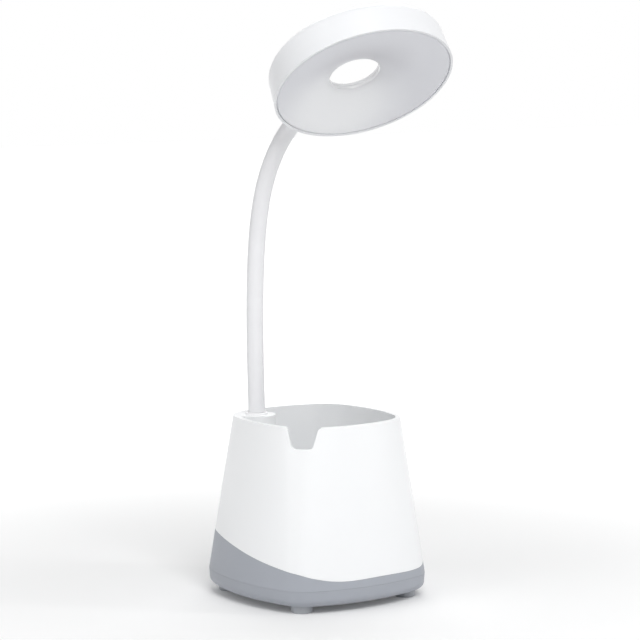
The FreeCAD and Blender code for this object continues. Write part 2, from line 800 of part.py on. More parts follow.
def make_button():
    """Push button in the back wall, its plunger and the switch behind it."""
    facing_back = FreeCAD.Rotation(SIDE_AXIS, -90)
    cap = cylinder("cap", "button_radius", "button_face - flange_front", y="flange_front",
                   z="button_height", rotation=facing_back)
    doc.recompute()
    face = size("button_face")
    cap_round = softened("cap_round", cap, size("button_round"),
                         lambda e: e.BoundBox.YMin > face - size("skin_gap"))
    flange = cylinder("flange", "flange_radius", "flange_thickness",
                      y="flange_front - flange_thickness", z="button_height", rotation=facing_back)
    keep("power_button", fuse("button", cap_round, flange))
    plunger = cylinder("plunger", "plunger_radius", "plunger_length",
                       y="flange_front - flange_thickness - plunger_length", z="button_height",
                       rotation=facing_back)
    keep("switch_plunger", plunger)
    block = box("switch_block", "switch_width", "switch_depth", "switch_width", "-switch_width / 2",
                "switch_front - switch_depth", "button_height - switch_width / 2")
    bore = cylinder("switch_bore", "plunger_radius + plunger_gap",
                    "plunger_length - (flange_front - flange_thickness - switch_front)"
                    " + button_travel + plunger_gap + overrun",
                    y="flange_front - flange_thickness - plunger_length - button_travel - plunger_gap",
                    z="button_height", rotation=facing_back)
    keep("tact_switch", cut("switch", block, bore))
    keep("switch_board", box("switch_card", "switch_board_width", "board_thickness", "switch_board_height",
                             "-switch_board_width / 2", "switch_front - switch_depth - board_thickness",
                             "board_top"))


def make_arm_foot():
    """Ferrule, washer and nut under the boss, and the collar on its deck."""
    ceiling = "rim_height - boss_deck"
    x = "-arm_place"
    y = "arm_place"
    tube = cylinder("ferrule_tube", "ferrule_radius", f"ferrule_top - ({ceiling}) + ferrule_tail", x, y,
                    f"{ceiling} - ferrule_tail")
    bore = cylinder("ferrule_tube_bore", "ferrule_bore", "rim_height", x, y, "seam_height")
    keep("arm_ferrule", cut("ferrule", tube, bore))
    disc = cylinder("washer_disc", "washer_radius", "washer_thickness", x, y,
                    f"{ceiling} - washer_thickness")
    eye = cylinder("washer_eye", "ferrule_radius + ferrule_gap", "washer_thickness + overrun", x, y,
                   f"{ceiling} - washer_thickness - overrun / 2")
    keep("arm_washer", cut("washer", disc, eye))
    nut = hexagon("nut_block", "nut_across", "nut_height", x, y,
                  f"{ceiling} - washer_thickness - nut_height")
    nut_eye = cylinder("nut_eye", "ferrule_radius + ferrule_gap / 2", "nut_height + overrun", x, y,
                       f"{ceiling} - washer_thickness - nut_height - overrun / 2")
    keep("arm_nut", cut("nut", nut, nut_eye))
    ring = cylinder("collar_disc", "collar_radius", "collar_height", x, y, "rim_height")
    doc.recompute()
    top = size("rim_height") + size("collar_height")
    ring_round = softened("collar_round_disc", ring, size("collar_round"), lambda e: at_height(e, top))
    ring_eye = cylinder("collar_eye", "ferrule_radius + ferrule_gap", "collar_height + overrun", x, y,
                        "rim_height - overrun / 2")
    keep("arm_collar", cut("collar", ring_round, ring_eye))


def arc_step(length, turn):
    """The move along one bent piece of the arm."""
    if turn == 0:
        return FreeCAD.Placement(V(0, 0, length), FreeCAD.Rotation())
    radius = length / math.radians(turn)
    angle = math.radians(turn)
    end = V(radius * (1 - math.cos(angle)), 0, radius * math.sin(angle))
    return FreeCAD.Placement(end, FreeCAD.Rotation(FORWARD_AXIS, turn))


def arm_frames():
    """Frames of the arm's foot, of its joints and of its far end, each with Z along the arm."""
    place = size("arm_place")
    foot = V(-place, place, size("rim_height") + size("collar_height"))
    heading = FreeCAD.Rotation(UP, size("arm_azimuth")).multiply(
        FreeCAD.Rotation(FORWARD_AXIS, size("arm_lean")))
    frames = [FreeCAD.Placement(foot, heading)]
    steps = [(size("root_length"), 0)]
    steps += [(size("link_length"), size(turn)) for turn in LINK_TURNS]
    steps += [(size("neck_length"), size("neck_turn"))]
    for length, turn in steps:
        frames.append(frames[-1].multiply(arc_step(length, turn)))
    return frames


def bent_rod(radius, length, turn, before=0, after=0):
    """A round rod along one bent piece of the arm, with straight runs before and after it."""
    end = arc_step(length, turn)
    edges = []
    if before:
        edges.append(Part.makeLine(V(0, 0, -before), V()))
    if turn:
        middle = arc_step(length / 2, turn / 2).Base
        edges.append(Part.Arc(V(), middle, end.Base).toShape())
    else:
        edges.append(Part.makeLine(V(), end.Base))
    if after:
        edges.append(Part.makeLine(end.Base, end.Base + end.Rotation.multVec(UP) * after))
    circle = Part.makeCircle(radius, V(0, 0, -before), UP)
    return Part.Wire(edges).makePipeShell([Part.Wire([circle])], True, True)


def sleeve(length, turn, has_socket, has_dome, before=0, after=0):
    """One link: a hollow socket at its foot and a dome at its top, both round the joint's centre."""
    radius = size("arm_radius")
    gap = size("joint_gap")
    over = size("overrun")
    solid = bent_rod(radius, length, turn, before, after)
    end = arc_step(length, turn)
    if has_dome:
        along = end.Rotation.multVec(UP)
        solid = solid.fuse(Part.makeSphere(radius, end.Base, along, 0, 90, 360))
    if has_socket:
        slab = Part.makeBox(4 * radius, 4 * radius, size("joint_lift") + over,
                            V(-2 * radius, -2 * radius, -over))
        solid = solid.cut(slab).cut(Part.makeSphere(radius + gap, V()))
    return solid.cut(bent_rod(size("arm_bore"), length, turn, over, over + radius))


def core(length, turn, start, stop=0):
    """The steel tube inside a link, clear of the joint below it."""
    over = size("overrun")
    tube = bent_rod(size("core_radius"), length, turn)
    tube = tube.cut(bent_rod(size("core_bore"), length, turn, over, over))
    radius = size("arm_radius")
    side = 4 * radius
    if start:
        tube = tube.cut(Part.makeBox(side, side, start + over, V(-side / 2, -side / 2, -over)))
    if stop:
        keep_end = arc_step(length, turn)
        block = Part.makeBox(side, side, stop + over, V(-side / 2, -side / 2, -stop))
        block.Placement = keep_end
        tube = tube.cut(block)
    return tube


def make_arm(frames):
    """Fixed root on the collar and seven links, each with its steel core."""
    over = size("overrun")
    foot = frames[0].Base
    root = sleeve(size("root_length"), 0, False, True, before=over)
    root.Placement = frames[0]
    deck = Part.makeBox(4 * over, 4 * over, 2 * over, foot - V(2 * over, 2 * over, 2 * over))
    throat = Part.makeCylinder(size("ferrule_radius") + size("ferrule_gap"),
                               size("ferrule_top") + size("joint_gap") - foot.z, foot)
    keep("arm_root", feature("root", root.cut(deck).cut(throat)))
    for i, turn in enumerate(LINK_TURNS, start=1):
        bend = size(turn)
        length = size("link_length")
        link = sleeve(length, bend, True, True)
        keep(f"arm_sleeve_{i}", feature(f"sleeve_{i}", link), frames[i])
        inner = core(length, bend, size("core_start"))
        keep(f"arm_core_{i}", feature(f"core_{i}", inner), frames[i])


def head_frame(end):
    """The head's own frame: X towards the neck, Z away from the light, origin in the rim's plane."""
    rolled = end.multiply(FreeCAD.Placement(V(), FreeCAD.Rotation(UP, size("head_roll"))))
    swap = FreeCAD.Rotation(V(0, 0, -1), V(0, -1, 0), V(-1, 0, 0), "XYZ")
    axes = rolled.Rotation.multiply(swap)
    neck = V(wall_radius("head_radius"), 0, size("neck_height"))
    return FreeCAD.Placement(end.Base - axes.multVec(neck), axes)


def wall_radius(alias):
    """Radius of the head's drafted wall at the neck's height."""
    return size(alias) - size("head_top_inset") * size("neck_height") / size("head_height")


def puck(name, inset, low, top_inset):
    """The head's outer form, drawn in by an inset, with its top edge rounded."""
    body = turned(name, [
        ("0", low),
        (f"head_radius - {inset}", low),
        (f"head_radius - {inset} - head_top_inset", f"head_height - {top_inset}"),
        ("0", f"head_height - {top_inset}"),
    ])
    top = size("head_height") - (size(top_inset) if top_inset in SIZES else 0)
    return round_body(body, f"head_round - {inset}", lambda e: at_height(e, top))


def dish(name, drop):
    """The funnel in the top of the head and the hole under it."""
    funnel = cone(f"{name}_funnel", "hole_radius", "dish_radius + overrun / dish_slope",
                  "head_height - dish_floor + overrun", "hole_offset", "0", f"dish_floor - {drop}")
    hole = cylinder(f"{name}_hole", "hole_radius", "dish_floor + overrun", "hole_offset", "0",
                    f"-overrun - {drop}")
    return fuse(name, funnel, hole)


def make_housing(place):
    """White ring-shaped housing: side wall, dished top, ledge for the diffuser and screw bosses."""
    outer = puck("puck_outer", "0", "0", "0")
    inner = puck("puck_inner", "head_wall", "-overrun", "head_wall")
    roof = dish("dish_under", "head_wall * dish_wall_share")
    cavity = cut("cavity", inner, roof)
    ledge = cylinder("ledge_mouth", "head_radius - rim_lip", "diffuser_thickness + ledge_gap + overrun",
                     z="-overrun")
    neck_hole = cylinder("neck_hole", "neck_ferrule_radius + ferrule_gap", "head_radius",
                         "head_radius / 2", "0", "neck_height", FreeCAD.Rotation(FORWARD_AXIS, 90))
    shell = cut("housing_shell", outer, dish("dish_top", "0"), cavity, ledge, neck_hole)
    bosses = [cylinder(f"led_boss_{i}", "led_boss_radius", "head_height - head_wall - led_board_top", x, y,
                       "led_board_top") for i, (x, y) in enumerate(led_screw_places())]
    trimmed = cut("led_bosses", fuse("led_boss_set", *bosses), dish("dish_trim", "head_wall / 2"))
    pilots = [cylinder(f"led_pilot_{i}", "led_screw_radius", "led_screw_grip + led_screw_radius", x, y,
                       "led_board_top - led_screw_radius") for i, (x, y) in enumerate(led_screw_places())]
    keep("head_housing", cut("housing", fuse("housing_solid", shell, trimmed), *pilots), place)


def led_screw_places():
    """Where the light board is screwed to the housing."""
    count = int(size("led_screw_count"))
    circle = size("led_screw_circle")
    places = []
    for i in range(count):
        angle = math.pi + 2 * math.pi * i / count
        places.append((f"hole_offset + led_screw_circle * {math.cos(angle):.6f}",
                       f"led_screw_circle * {math.sin(angle):.6f}"))
    return places


def diffuser_arc(thickness):
    """One face of the trumpet: an arc from the throat that ends level beyond the rim."""
    top = size("throat_height")
    far = size("head_radius") + size("hole_offset")
    run = far - size("throat_radius")
    bow = (run ** 2 + top ** 2) / (2 * top)
    radius = bow - thickness
    fall = math.acos((bow - top) / radius)
    points = [V(far - radius * math.sin(turn), 0, bow - radius * math.cos(turn)) for turn in (fall, fall / 2, 0)]
    return Part.Arc(*points).toShape()


def make_diffuser(place):
    """Milky trumpet-shaped sheet between the rim and the throat, on whose flat end the ring stands."""
    lower = diffuser_arc(0)
    upper = diffuser_arc(size("diffuser_thickness"))
    ends = [Part.makeLine(lower.lastVertex().Point, upper.lastVertex().Point),
            Part.makeLine(upper.firstVertex().Point, lower.firstVertex().Point)]
    face = Part.Face(Part.Wire(Part.__sortEdges__([lower, upper] + ends)))
    sheet_form = face.revolve(V(), UP, math.degrees(2 * math.pi))
    sheet_form.translate(V(size("hole_offset"), 0, 0))
    disc = Part.makeCylinder(size("head_radius") - size("rim_lip") - size("diffuser_gap"),
                             size("head_height"), V(0, 0, -size("overrun")))
    keep("diffuser", feature("trumpet", sheet_form.common(disc)), place)


def make_liner(place):
    """Glossy ring that lines the hole between the throat and the top."""
    flange_seat = "dish_floor + diffuser_gap + liner_flange * dish_slope"
    ring = turned("liner", [
        ("throat_radius", "throat_height"),
        ("throat_radius + liner_wall", "throat_height"),
        ("throat_radius + liner_wall", "dish_floor + diffuser_gap"),
        ("hole_radius + liner_flange", flange_seat),
        ("hole_radius + liner_flange", f"{flange_seat} + liner_flange_height / 2"),
        ("throat_radius", "dish_floor + diffuser_gap + liner_flange_height"),
    ])
    put(ring, x="hole_offset")
    doc.recompute()
    keep("hole_liner", feature("liner_ring", ring.Shape), place)


def make_light_board(place):
    """Ring-shaped light board with its light chips and screws."""
    low = "led_board_top - led_board_thickness"
    disc = cylinder("led_disc", "led_board_outer", "led_board_thickness", "hole_offset", "0", low)
    eye = cylinder("led_eye", "led_board_inner", "led_board_thickness + overrun", "hole_offset", "0",
                   f"{low} - overrun / 2")
    holes = [cylinder(f"led_hole_{i}", "led_screw_radius + ferrule_gap", "led_board_thickness + overrun",
                      x, y, f"{low} - overrun / 2") for i, (x, y) in enumerate(led_screw_places())]
    keep("led_board", cut("led_ring", disc, eye, *holes), place)
    chip = box("led_chip", "led_length", "led_width", "led_height")
    doc.recompute()
    count = int(size("led_count"))
    chips = []
    for i in range(count):
        turn = FreeCAD.Rotation(UP, math.degrees(2 * math.pi * (i + 0.5) / count))
        centre = turn.multVec(V(size("led_circle"), 0, 0))
        corner = turn.multVec(V(-size("led_length") / 2, -size("led_width") / 2, 0))
        spot = centre + corner + V(size("hole_offset"), 0, size("led_board_top")
                                   - size("led_board_thickness") - size("led_height"))
        chips.append(copied(f"led_{i}", chip, FreeCAD.Placement(spot, turn)))
    keep("led_chips", group("led_set", chips), place)
    screws = [screw(f"led_screw_{i}", x, y, low, "led_screw_head", "led_screw_head_height",
                    "led_screw_radius", "led_board_thickness + led_screw_grip * led_grip_share", False)
              for i, (x, y) in enumerate(led_screw_places())]
    keep("led_screws", group("led_screw_set", screws), place)


def make_neck(frames, place):
    """Curved sleeve, core, ferrule and nut between the last joint and the head."""
    joint = frames[-2]
    length = size("neck_length")
    bend = size("neck_turn")
    outer = sleeve(length, bend, True, False, after=size("overrun"))
    outer.Placement = joint
    wall_form = doc.getObject("puck_outer").Shape.copy()
    wall_form.Placement = place
    keep("head_neck", feature("neck", outer.cut(wall_form)))
    keep("neck_core", feature("neck_tube", core(length, bend, size("core_start") - size("joint_gap"),
                                                size("neck_ferrule_out") + size("joint_gap"))), joint)
    lying = FreeCAD.Rotation(FORWARD_AXIS, 90)
    start = f"{wall_radius('head_radius'):.4f} - neck_ferrule_in"
    tube = cylinder("neck_tube_outer", "neck_ferrule_radius", "neck_ferrule_in + neck_ferrule_out",
                    start, "0", "neck_height", lying)
    bore = cylinder("neck_tube_bore", "neck_ferrule_bore", "head_radius", "head_radius / 2", "0",
                    "neck_height", lying)
    keep("head_ferrule", cut("neck_ferrule", tube, bore), place)
    nut = hexagon("neck_nut_block", "neck_nut_across", "neck_nut_height", "neck_nut_place - neck_nut_height",
                  "0", "neck_height", lying)
    eye = cylinder("neck_nut_eye", "neck_ferrule_radius + ferrule_gap / 2", "head_radius", "head_radius / 2",
                   "0", "neck_height", lying)
    keep("head_nut", cut("neck_nut", nut, eye), place)


def bent_wire(points, radius, bend):
    """A wire along straight runs joined by tangent arcs."""
    edges = []
    start = points[0]
    for before, corner, after in zip(points, points[1:], points[2:]):
        into = (corner - before).normalize()
        out = (after - corner).normalize()
        half = into.getAngle(out) / 2
        trim = bend * math.tan(half)
        enter = corner - into * trim
        leave = corner + out * trim
        towards = (out - into).normalize()
        middle = corner + towards * (bend / math.cos(half) - bend)
        edges.append(Part.makeLine(start, enter))
        edges.append(Part.Arc(enter, middle, leave).toShape())
        start = leave
    edges.append(Part.makeLine(start, points[-1]))
    first = (points[1] - points[0]).normalize()
    circle = Part.makeCircle(radius, points[0], first)
    return Part.Wire(edges).makePipeShell([Part.Wire([circle])], True, True)


def make_leads(place):
    """Leads from the board up the arm's foot, to the cell and inside the head."""
    x = -size("arm_place")
    y = size("arm_place")
    plug_front = size("plug_place") - size("plug_depth") / 2
    run = size("board_top") + size("plug_height") / 2
    top = size("ferrule_top") - size("joint_gap")
    keep("lamp_lead", feature("lamp_lead_run", bent_wire(
        [V(x, y, top), V(x, y, run), V(x, plug_front, run)], size("lead_radius"), size("lead_bend") / 2)))
    cell_end = size("cell_length") / 2 + size("cell_button_height") / 2
    cell_middle = (size("tray_bottom") + size("tray_floor") + size("plate_thickness") + size("cradle_floor")
                   + size("cell_radius") + size("cradle_gap"))
    above = cell_middle + size("cell_radius") * size("lead_height_share")
    plug_x = size("board_length") / 2 - size("standoff_inset") * 2 - size("plug_width") / 2
    wires = []
    for side in (-1, 1):
        shift = side * size("wire_pitch") / 2
        start_x = size("cell_length") / 2
        turn_x = start_x + size("wire_run")
        cell_y = size("cell_place") + shift
        bend_y = plug_front - size("wire_run") + shift
        wires.append(feature(f"cell_wire_{side + 1}", bent_wire(
            [V(start_x, cell_y, above + shift), V(turn_x + shift, cell_y, above + shift),
             V(turn_x + shift, bend_y, run), V(plug_x - shift, bend_y, run),
             V(plug_x - shift, plug_front, run)], size("wire_radius"), size("wire_bend"))))
    keep("cell_leads", group("cell_wires", wires))
    inner_end = wall_radius("head_radius") - size("neck_ferrule_in") + size("wire_bend")
    pads = size("led_board_outer") + size("hole_offset") - size("wire_bend")
    wires = []
    for side in (-1, 1):
        shift = side * size("wire_pitch") / 2
        level = size("neck_height") + size("wire_radius")
        crest = level + size("wire_crest")
        spread = shift * size("wire_spread_share")
        wide = shift * size("wire_wide_share")
        wires.append(feature(f"head_wire_{side + 1}", bent_wire(
            [V(inner_end, shift, level), V(inner_end - size("wire_run"), shift, level),
             V(inner_end - size("wire_turn"), spread, crest), V(pads - size("wire_bend"), wide, crest),
             V(pads - size("wire_bend"), wide, size("led_board_top"))],
            size("wire_radius"), size("wire_tight_bend"))))
    keep("head_leads", group("head_wires", wires), place)


def check_and_write():
    """Recompute, stop on any failed object or bad shape, and write one STEP file for each sub-part."""
    doc.recompute()
    failed = [o.Label for o in doc.Objects if {"Invalid", "Error"} & set(o.State)]
    if failed:
        raise RuntimeError(f"these objects failed: {failed}")
    bad = [node for node, thing in parts.items() if thing.Shape.isNull() or not thing.Shape.isValid()
           or not thing.Shape.Solids]
    if bad:
        raise RuntimeError(f"these sub-parts have no sound shape: {bad}")
    os.makedirs("parts", exist_ok=True)
    for node, thing in parts.items():
        thing.Shape.exportStep(f"parts/{node}.step")
        print(f"{node}: {len(thing.Shape.Solids)} solids, {thing.Shape.Volume:.1f} mm3")


def main():
    """Build the lamp from its foot to its head."""
    fill_sheets()
    make_cup_shell()
    make_base_skin()
    make_tray()
    make_feet()
    make_base_screws()
    make_weight_and_cell()
    make_main_board()
    make_socket()
    make_button()
    make_arm_foot()
    frames = arm_frames()
    make_arm(frames)
    place = head_frame(frames[-1])
    make_housing(place)
    make_diffuser(place)
    make_liner(place)
    make_light_board(place)
    make_neck(frames, place)
    make_leads(place)
    for i, frame in enumerate(frames):
        print(f"frame {i}: {tuple(round(c, 3) for c in frame.Base)}"
              f" along {tuple(round(c, 4) for c in frame.Rotation.multVec(UP))}"
              f" bend axis {tuple(round(c, 4) for c in frame.Rotation.multVec(FORWARD_AXIS))}"
              f" side axis {tuple(round(c, 4) for c in frame.Rotation.multVec(SIDE_AXIS))}")
    print(f"head: {tuple(round(c, 3) for c in place.Base)}"
          f" up {tuple(round(c, 4) for c in place.Rotation.multVec(UP))}"
          f" neck {tuple(round(c, 4) for c in place.Rotation.multVec(SIDE_AXIS))}")
    check_and_write()


main()
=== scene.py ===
"""Looks of a gooseneck desk lamp that stands on a tapered pen cup.

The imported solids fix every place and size.  Each class below builds the shown skins of one
sub-assembly in the same frame and dresses them in its finishes.  Sizes in the classes are
millimetres, in the lamp's own frame: +Z up, the front face towards -Y.  Meshes are in metres.
"""

from __future__ import annotations

import json
import logging
import math
from collections.abc import Callable, Sequence
from dataclasses import dataclass, field
from enum import Enum
from typing import Any

import bmesh
import bpy
from mathutils import Matrix, Vector

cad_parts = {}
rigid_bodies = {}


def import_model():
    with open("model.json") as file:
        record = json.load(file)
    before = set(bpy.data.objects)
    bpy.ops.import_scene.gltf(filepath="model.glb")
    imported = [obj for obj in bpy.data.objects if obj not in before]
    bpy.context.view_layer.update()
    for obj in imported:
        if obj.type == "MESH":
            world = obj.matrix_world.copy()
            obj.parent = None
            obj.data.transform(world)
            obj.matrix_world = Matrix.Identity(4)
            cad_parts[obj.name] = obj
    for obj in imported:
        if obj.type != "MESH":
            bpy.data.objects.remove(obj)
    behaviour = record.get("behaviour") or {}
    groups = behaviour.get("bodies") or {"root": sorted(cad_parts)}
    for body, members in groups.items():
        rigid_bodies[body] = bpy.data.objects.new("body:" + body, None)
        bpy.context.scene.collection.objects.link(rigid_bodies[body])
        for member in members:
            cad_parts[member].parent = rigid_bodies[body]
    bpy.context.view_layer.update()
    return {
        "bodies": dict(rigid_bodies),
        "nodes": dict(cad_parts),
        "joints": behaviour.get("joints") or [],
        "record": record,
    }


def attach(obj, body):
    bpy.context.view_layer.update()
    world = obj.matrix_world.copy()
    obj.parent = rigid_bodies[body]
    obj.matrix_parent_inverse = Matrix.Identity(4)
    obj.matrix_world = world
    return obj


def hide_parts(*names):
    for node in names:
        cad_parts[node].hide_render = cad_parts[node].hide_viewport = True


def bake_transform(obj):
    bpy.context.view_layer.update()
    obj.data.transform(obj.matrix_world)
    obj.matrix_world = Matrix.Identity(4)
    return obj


Piece = bpy.types.Object
Settings = dict[str | int, Any]
Level = Callable[[float], float]
LOG = logging.getLogger("desk_lamp")
MM = 0.001
WHITE = (1.0, 1.0, 1.0, 1.0)
RIM_HEIGHT = 107.8
ARM_PLACE = 25.7


def linear(colour: str) -> tuple[float, float, float, float]:
    """Turn an sRGB hex colour to linear values.

    Args:
        colour: A hash and six hex digits.

    Returns:
        Red, green, blue and a full alpha, linear.
    """
    parts = [int(colour[i:i + 2], 16) / 255 for i in (1, 3, 5)]
    red, green, blue = (c / 12.92 if c <= 0.04045 else ((c + 0.055) / 1.055) ** 2.4 for c in parts)
    return red, green, blue, 1.0


def select_nothing() -> None:
    """Leave edit mode and deselect every object."""
    if bpy.context.object is not None and bpy.context.object.mode != "OBJECT":
        bpy.ops.object.mode_set(mode="OBJECT")
    bpy.ops.object.select_all(action="DESELECT")


def weld(threshold: float = 0.002 * MM) -> None:
    """Merge the points of the edited mesh that lie on each other."""
    bpy.ops.mesh.select_all(action="SELECT")
    bpy.ops.mesh.remove_doubles(threshold=threshold)


def select_only(thing: Piece) -> None:
    """Select one object and make it active."""
    select_nothing()
    thing.select_set(True)
    bpy.context.view_layer.objects.active = thing


# --- finishes


class Nodes:
    """The node tree of a material or a world while it is being wired."""

    def __init__(self, owner: bpy.types.Material | bpy.types.World) -> None:
        """Empty the owner's tree."""
        owner.use_nodes = True
        self.tree = owner.node_tree
        self.tree.nodes.clear()

    def add(self, kind: str, settings: Settings | None = None) -> bpy.types.Node:
        """Add a node with its settings and links.

        Args:
            kind: The node's type name.
            settings: As for set.

        Returns:
            The new node.
        """
        node = self.tree.nodes.new(kind)
        self.set(node, settings or {})
        return node

    def set(self, node: bpy.types.Node, settings: Settings) -> None:
        """Set a node's properties and inputs, and link what feeds them.

        Args:
            node: The node to set.
            settings: For each property or input a value, a socket, or a node whose first output
                feeds it.
        """
        for name, value in settings.items():
            if isinstance(value, bpy.types.Node):
                value = value.outputs[0]
            if isinstance(value, bpy.types.NodeSocket):
                self.tree.links.new(value, node.inputs[name])
            elif hasattr(node, str(name)):
                setattr(node, name, value)
            else:
                node.inputs[name].default_value = value


class Surface(Nodes):
    """A material's tree, with its surface shader and the place of each point on the piece."""

    def __init__(self, title: str) -> None:
        """Start a material of this name."""
        self.material = bpy.data.materials.new(title)
        super().__init__(self.material)
        self.shader = self.add("ShaderNodeBsdfPrincipled")
        self.add("ShaderNodeOutputMaterial", {"Surface": self.shader})
        self.place = self.add("ShaderNodeTexCoord").outputs["Object"]


@dataclass(frozen=True)
class Coating:
    """What every finish has.

    Attributes:
        title: Name of the finish.
        colour: Main colour, sRGB.
        roughness: Middle roughness.
    """

    title: str
    colour: str
    roughness: float

    def make(self) -> bpy.types.Material:
        """Wire the finish and return its material."""
        nodes = Surface(self.title)
        nodes.set(nodes.shader, {"Base Color": linear(self.colour), "Roughness": self.roughness})
        nodes.set(nodes.shader, self.wire(nodes))
        return nodes.material

    def wire(self, nodes: Surface) -> Settings:
        """Add the finish's patterns and return what they feed on the shader."""
        raise NotImplementedError


@dataclass(frozen=True)
class MouldedPlastic(Coating):
    """Injection-moulded plastic: one colour right through, with the mould's fine eroded grain.

    Attributes:
        drift: Colour in the slightly thicker or more worn patches, sRGB.
        grain_mm: Pitch of the mould's grain, drawn coarser than real so that it shows.
        grain_depth: Strength of the grain's bump.
        index: Index of refraction, about 1.54 for ABS.
        coat: Weight of the smooth outer skin that a polished mould leaves.
    """

    drift: str
    grain_mm: float = 0.55
    grain_depth: float = 0.05
    index: float = 1.54
    coat: float = 0.0

    def wire(self, nodes: Surface) -> Settings:
        """Add the melt's flow, the traces of handling and the grain."""
        # Flow of the melt: patches about 30 mm wide that differ by a shade
        flow = nodes.add("ShaderNodeTexNoise", {"Scale": 1000 / 30, "Detail": 2.0, "Vector": nodes.place})
        tint = nodes.add("ShaderNodeMix", {"data_type": "RGBA", "Factor": flow,
                                           6: linear(self.colour), 7: linear(self.drift)})
        # Handling leaves patches of a few millimetres a little smoother than the rest
        touch = nodes.add("ShaderNodeTexNoise", {"Scale": 1000 / 9, "Detail": 3.0, "Vector": nodes.place})
        rough = nodes.add("ShaderNodeMapRange", {"Value": touch, "To Min": self.roughness * 0.88,
                                                 "To Max": self.roughness * 1.12})
        grain = nodes.add("ShaderNodeTexNoise", {"Scale": 1000 / self.grain_mm, "Detail": 1.0,
                                                 "Vector": nodes.place})
        bump = nodes.add("ShaderNodeBump", {"Strength": self.grain_depth, "Height": grain,
                                            "Distance": self.grain_mm * MM * 0.2})
        return {"Base Color": tint.outputs[2], "Roughness": rough, "Normal": bump, "IOR": self.index,
                "Coat Weight": self.coat, "Coat Roughness": 0.12}


@dataclass(frozen=True)
class SiliconeSleeve(Coating):
    """Extruded silicone tube: dull sheen, faint lines drawn by the die and a trace of dust.

    Attributes:
        drift: Colour of the dusty patches, sRGB.
    """

    drift: str

    def wire(self, nodes: Surface) -> Settings:
        """Add the dust and the die's lines."""
        dust = nodes.add("ShaderNodeTexNoise", {"Scale": 1000 / 12, "Detail": 4.0, "Vector": nodes.place})
        tint = nodes.add("ShaderNodeMix", {"data_type": "RGBA", "Factor": dust,
                                           6: linear(self.colour), 7: linear(self.drift)})
        # The die's lines run up the tube, so the noise is drawn out along Z: 0.6 mm wide, 20 mm long
        drawn = nodes.add("ShaderNodeMapping", {"Vector": nodes.place, "Scale": (1.0, 1.0, 0.03)})
        lines = nodes.add("ShaderNodeTexNoise", {"Scale": 1000 / 0.6, "Detail": 1.0, "Vector": drawn})
        bump = nodes.add("ShaderNodeBump", {"Strength": 0.04, "Distance": 0.1 * MM, "Height": lines})
        rough = nodes.add("ShaderNodeMapRange", {"Value": dust, "To Min": self.roughness - 0.05,
                                                 "To Max": self.roughness + 0.08})
        return {"Base Color": tint.outputs[2], "Roughness": rough, "Normal": bump, "IOR": 1.41}


@dataclass(frozen=True)
class OpalSheet(Coating):
    """Opal acrylic, vacuum-formed: milky, with a soft gloss and light that sinks in a little.

    Light and shade are painted into its colour: a painted shade greys the sheet on the upper side
    of its hole, and painted light whitens it on the lower side.

    Attributes:
        painted_shade_and_light: The painted shade and the painted light: colour, middle in millimetres
        in the lamp's frame, and the distances from there where each starts to fade and where it ends.
    """

    painted_shade_and_light: tuple[tuple[str, tuple[float, float, float], float, float], ...] = (
        # Painted shade: grey, on the upper side of the hole
        ("#C6C6CB", (-12.7, -57.1, 320.2), 6.0, 40.0),
        # Painted light: near white, on the lower side of the hole
        ("#FCFDFF", (-6.1, -26.3, 293.5), 10.0, 52.0))

    def wire(self, nodes: Surface) -> Settings:
        """Add the painted shade, the painted light and the matting."""
        body: Any = linear(self.colour)
        # Each zone mixes a painted shade or painted light into the sheet's own colour, fading with distance
        for colour, middle, near, far in self.painted_shade_and_light:
            away = nodes.add("ShaderNodeVectorMath", {"operation": "DISTANCE", 0: nodes.place,
                                                      1: [v * MM for v in middle]})
            fade = nodes.add("ShaderNodeMapRange", {
                "interpolation_type": "SMOOTHSTEP", "Value": away.outputs["Value"],
                "From Min": near * MM, "From Max": far * MM, "To Min": 1.0, "To Max": 0.0})
            body = nodes.add("ShaderNodeMix", {"data_type": "RGBA", "Factor": fade,
                                               6: body, 7: linear(colour)}).outputs[2]
        # Fine matting of the face that hides the light chips, drawn at half a millimetre
        mat = nodes.add("ShaderNodeTexNoise", {"Scale": 1000 / 0.5, "Detail": 1.0, "Vector": nodes.place})
        bump = nodes.add("ShaderNodeBump", {"Strength": 0.03, "Distance": 0.08 * MM, "Height": mat})
        rough = nodes.add("ShaderNodeMapRange", {"Value": mat, "To Min": self.roughness - 0.03,
                                                 "To Max": self.roughness + 0.03})
        return {"Base Color": body, "Roughness": rough, "Normal": bump, "IOR": 1.49,
                "Subsurface Weight": 0.25, "Subsurface Radius": (1.0, 1.0, 1.0), "Subsurface Scale": 3 * MM}


@dataclass(frozen=True)
class PlatedSteel(Coating):
    """Steel with a thin bright plating, and the turning or rolling marks under it.

    Attributes:
        mark_mm: Pitch of the tool marks.
    """

    mark_mm: float = 0.4

    def wire(self, nodes: Surface) -> Settings:
        """Add the marks."""
        drawn = nodes.add("ShaderNodeMapping", {"Vector": nodes.place, "Scale": (1.0, 0.08, 1.0)})
        marks = nodes.add("ShaderNodeTexNoise", {"Scale": 1000 / self.mark_mm, "Detail": 2.0,
                                                 "Vector": drawn})
        rough = nodes.add("ShaderNodeMapRange", {"Value": marks, "To Min": self.roughness * 0.8,
                                                 "To Max": self.roughness * 1.3})
        bump = nodes.add("ShaderNodeBump", {"Strength": 0.08, "Distance": 0.03 * MM, "Height": marks})
        return {"Metallic": 1.0, "Roughness": rough, "Normal": bump}


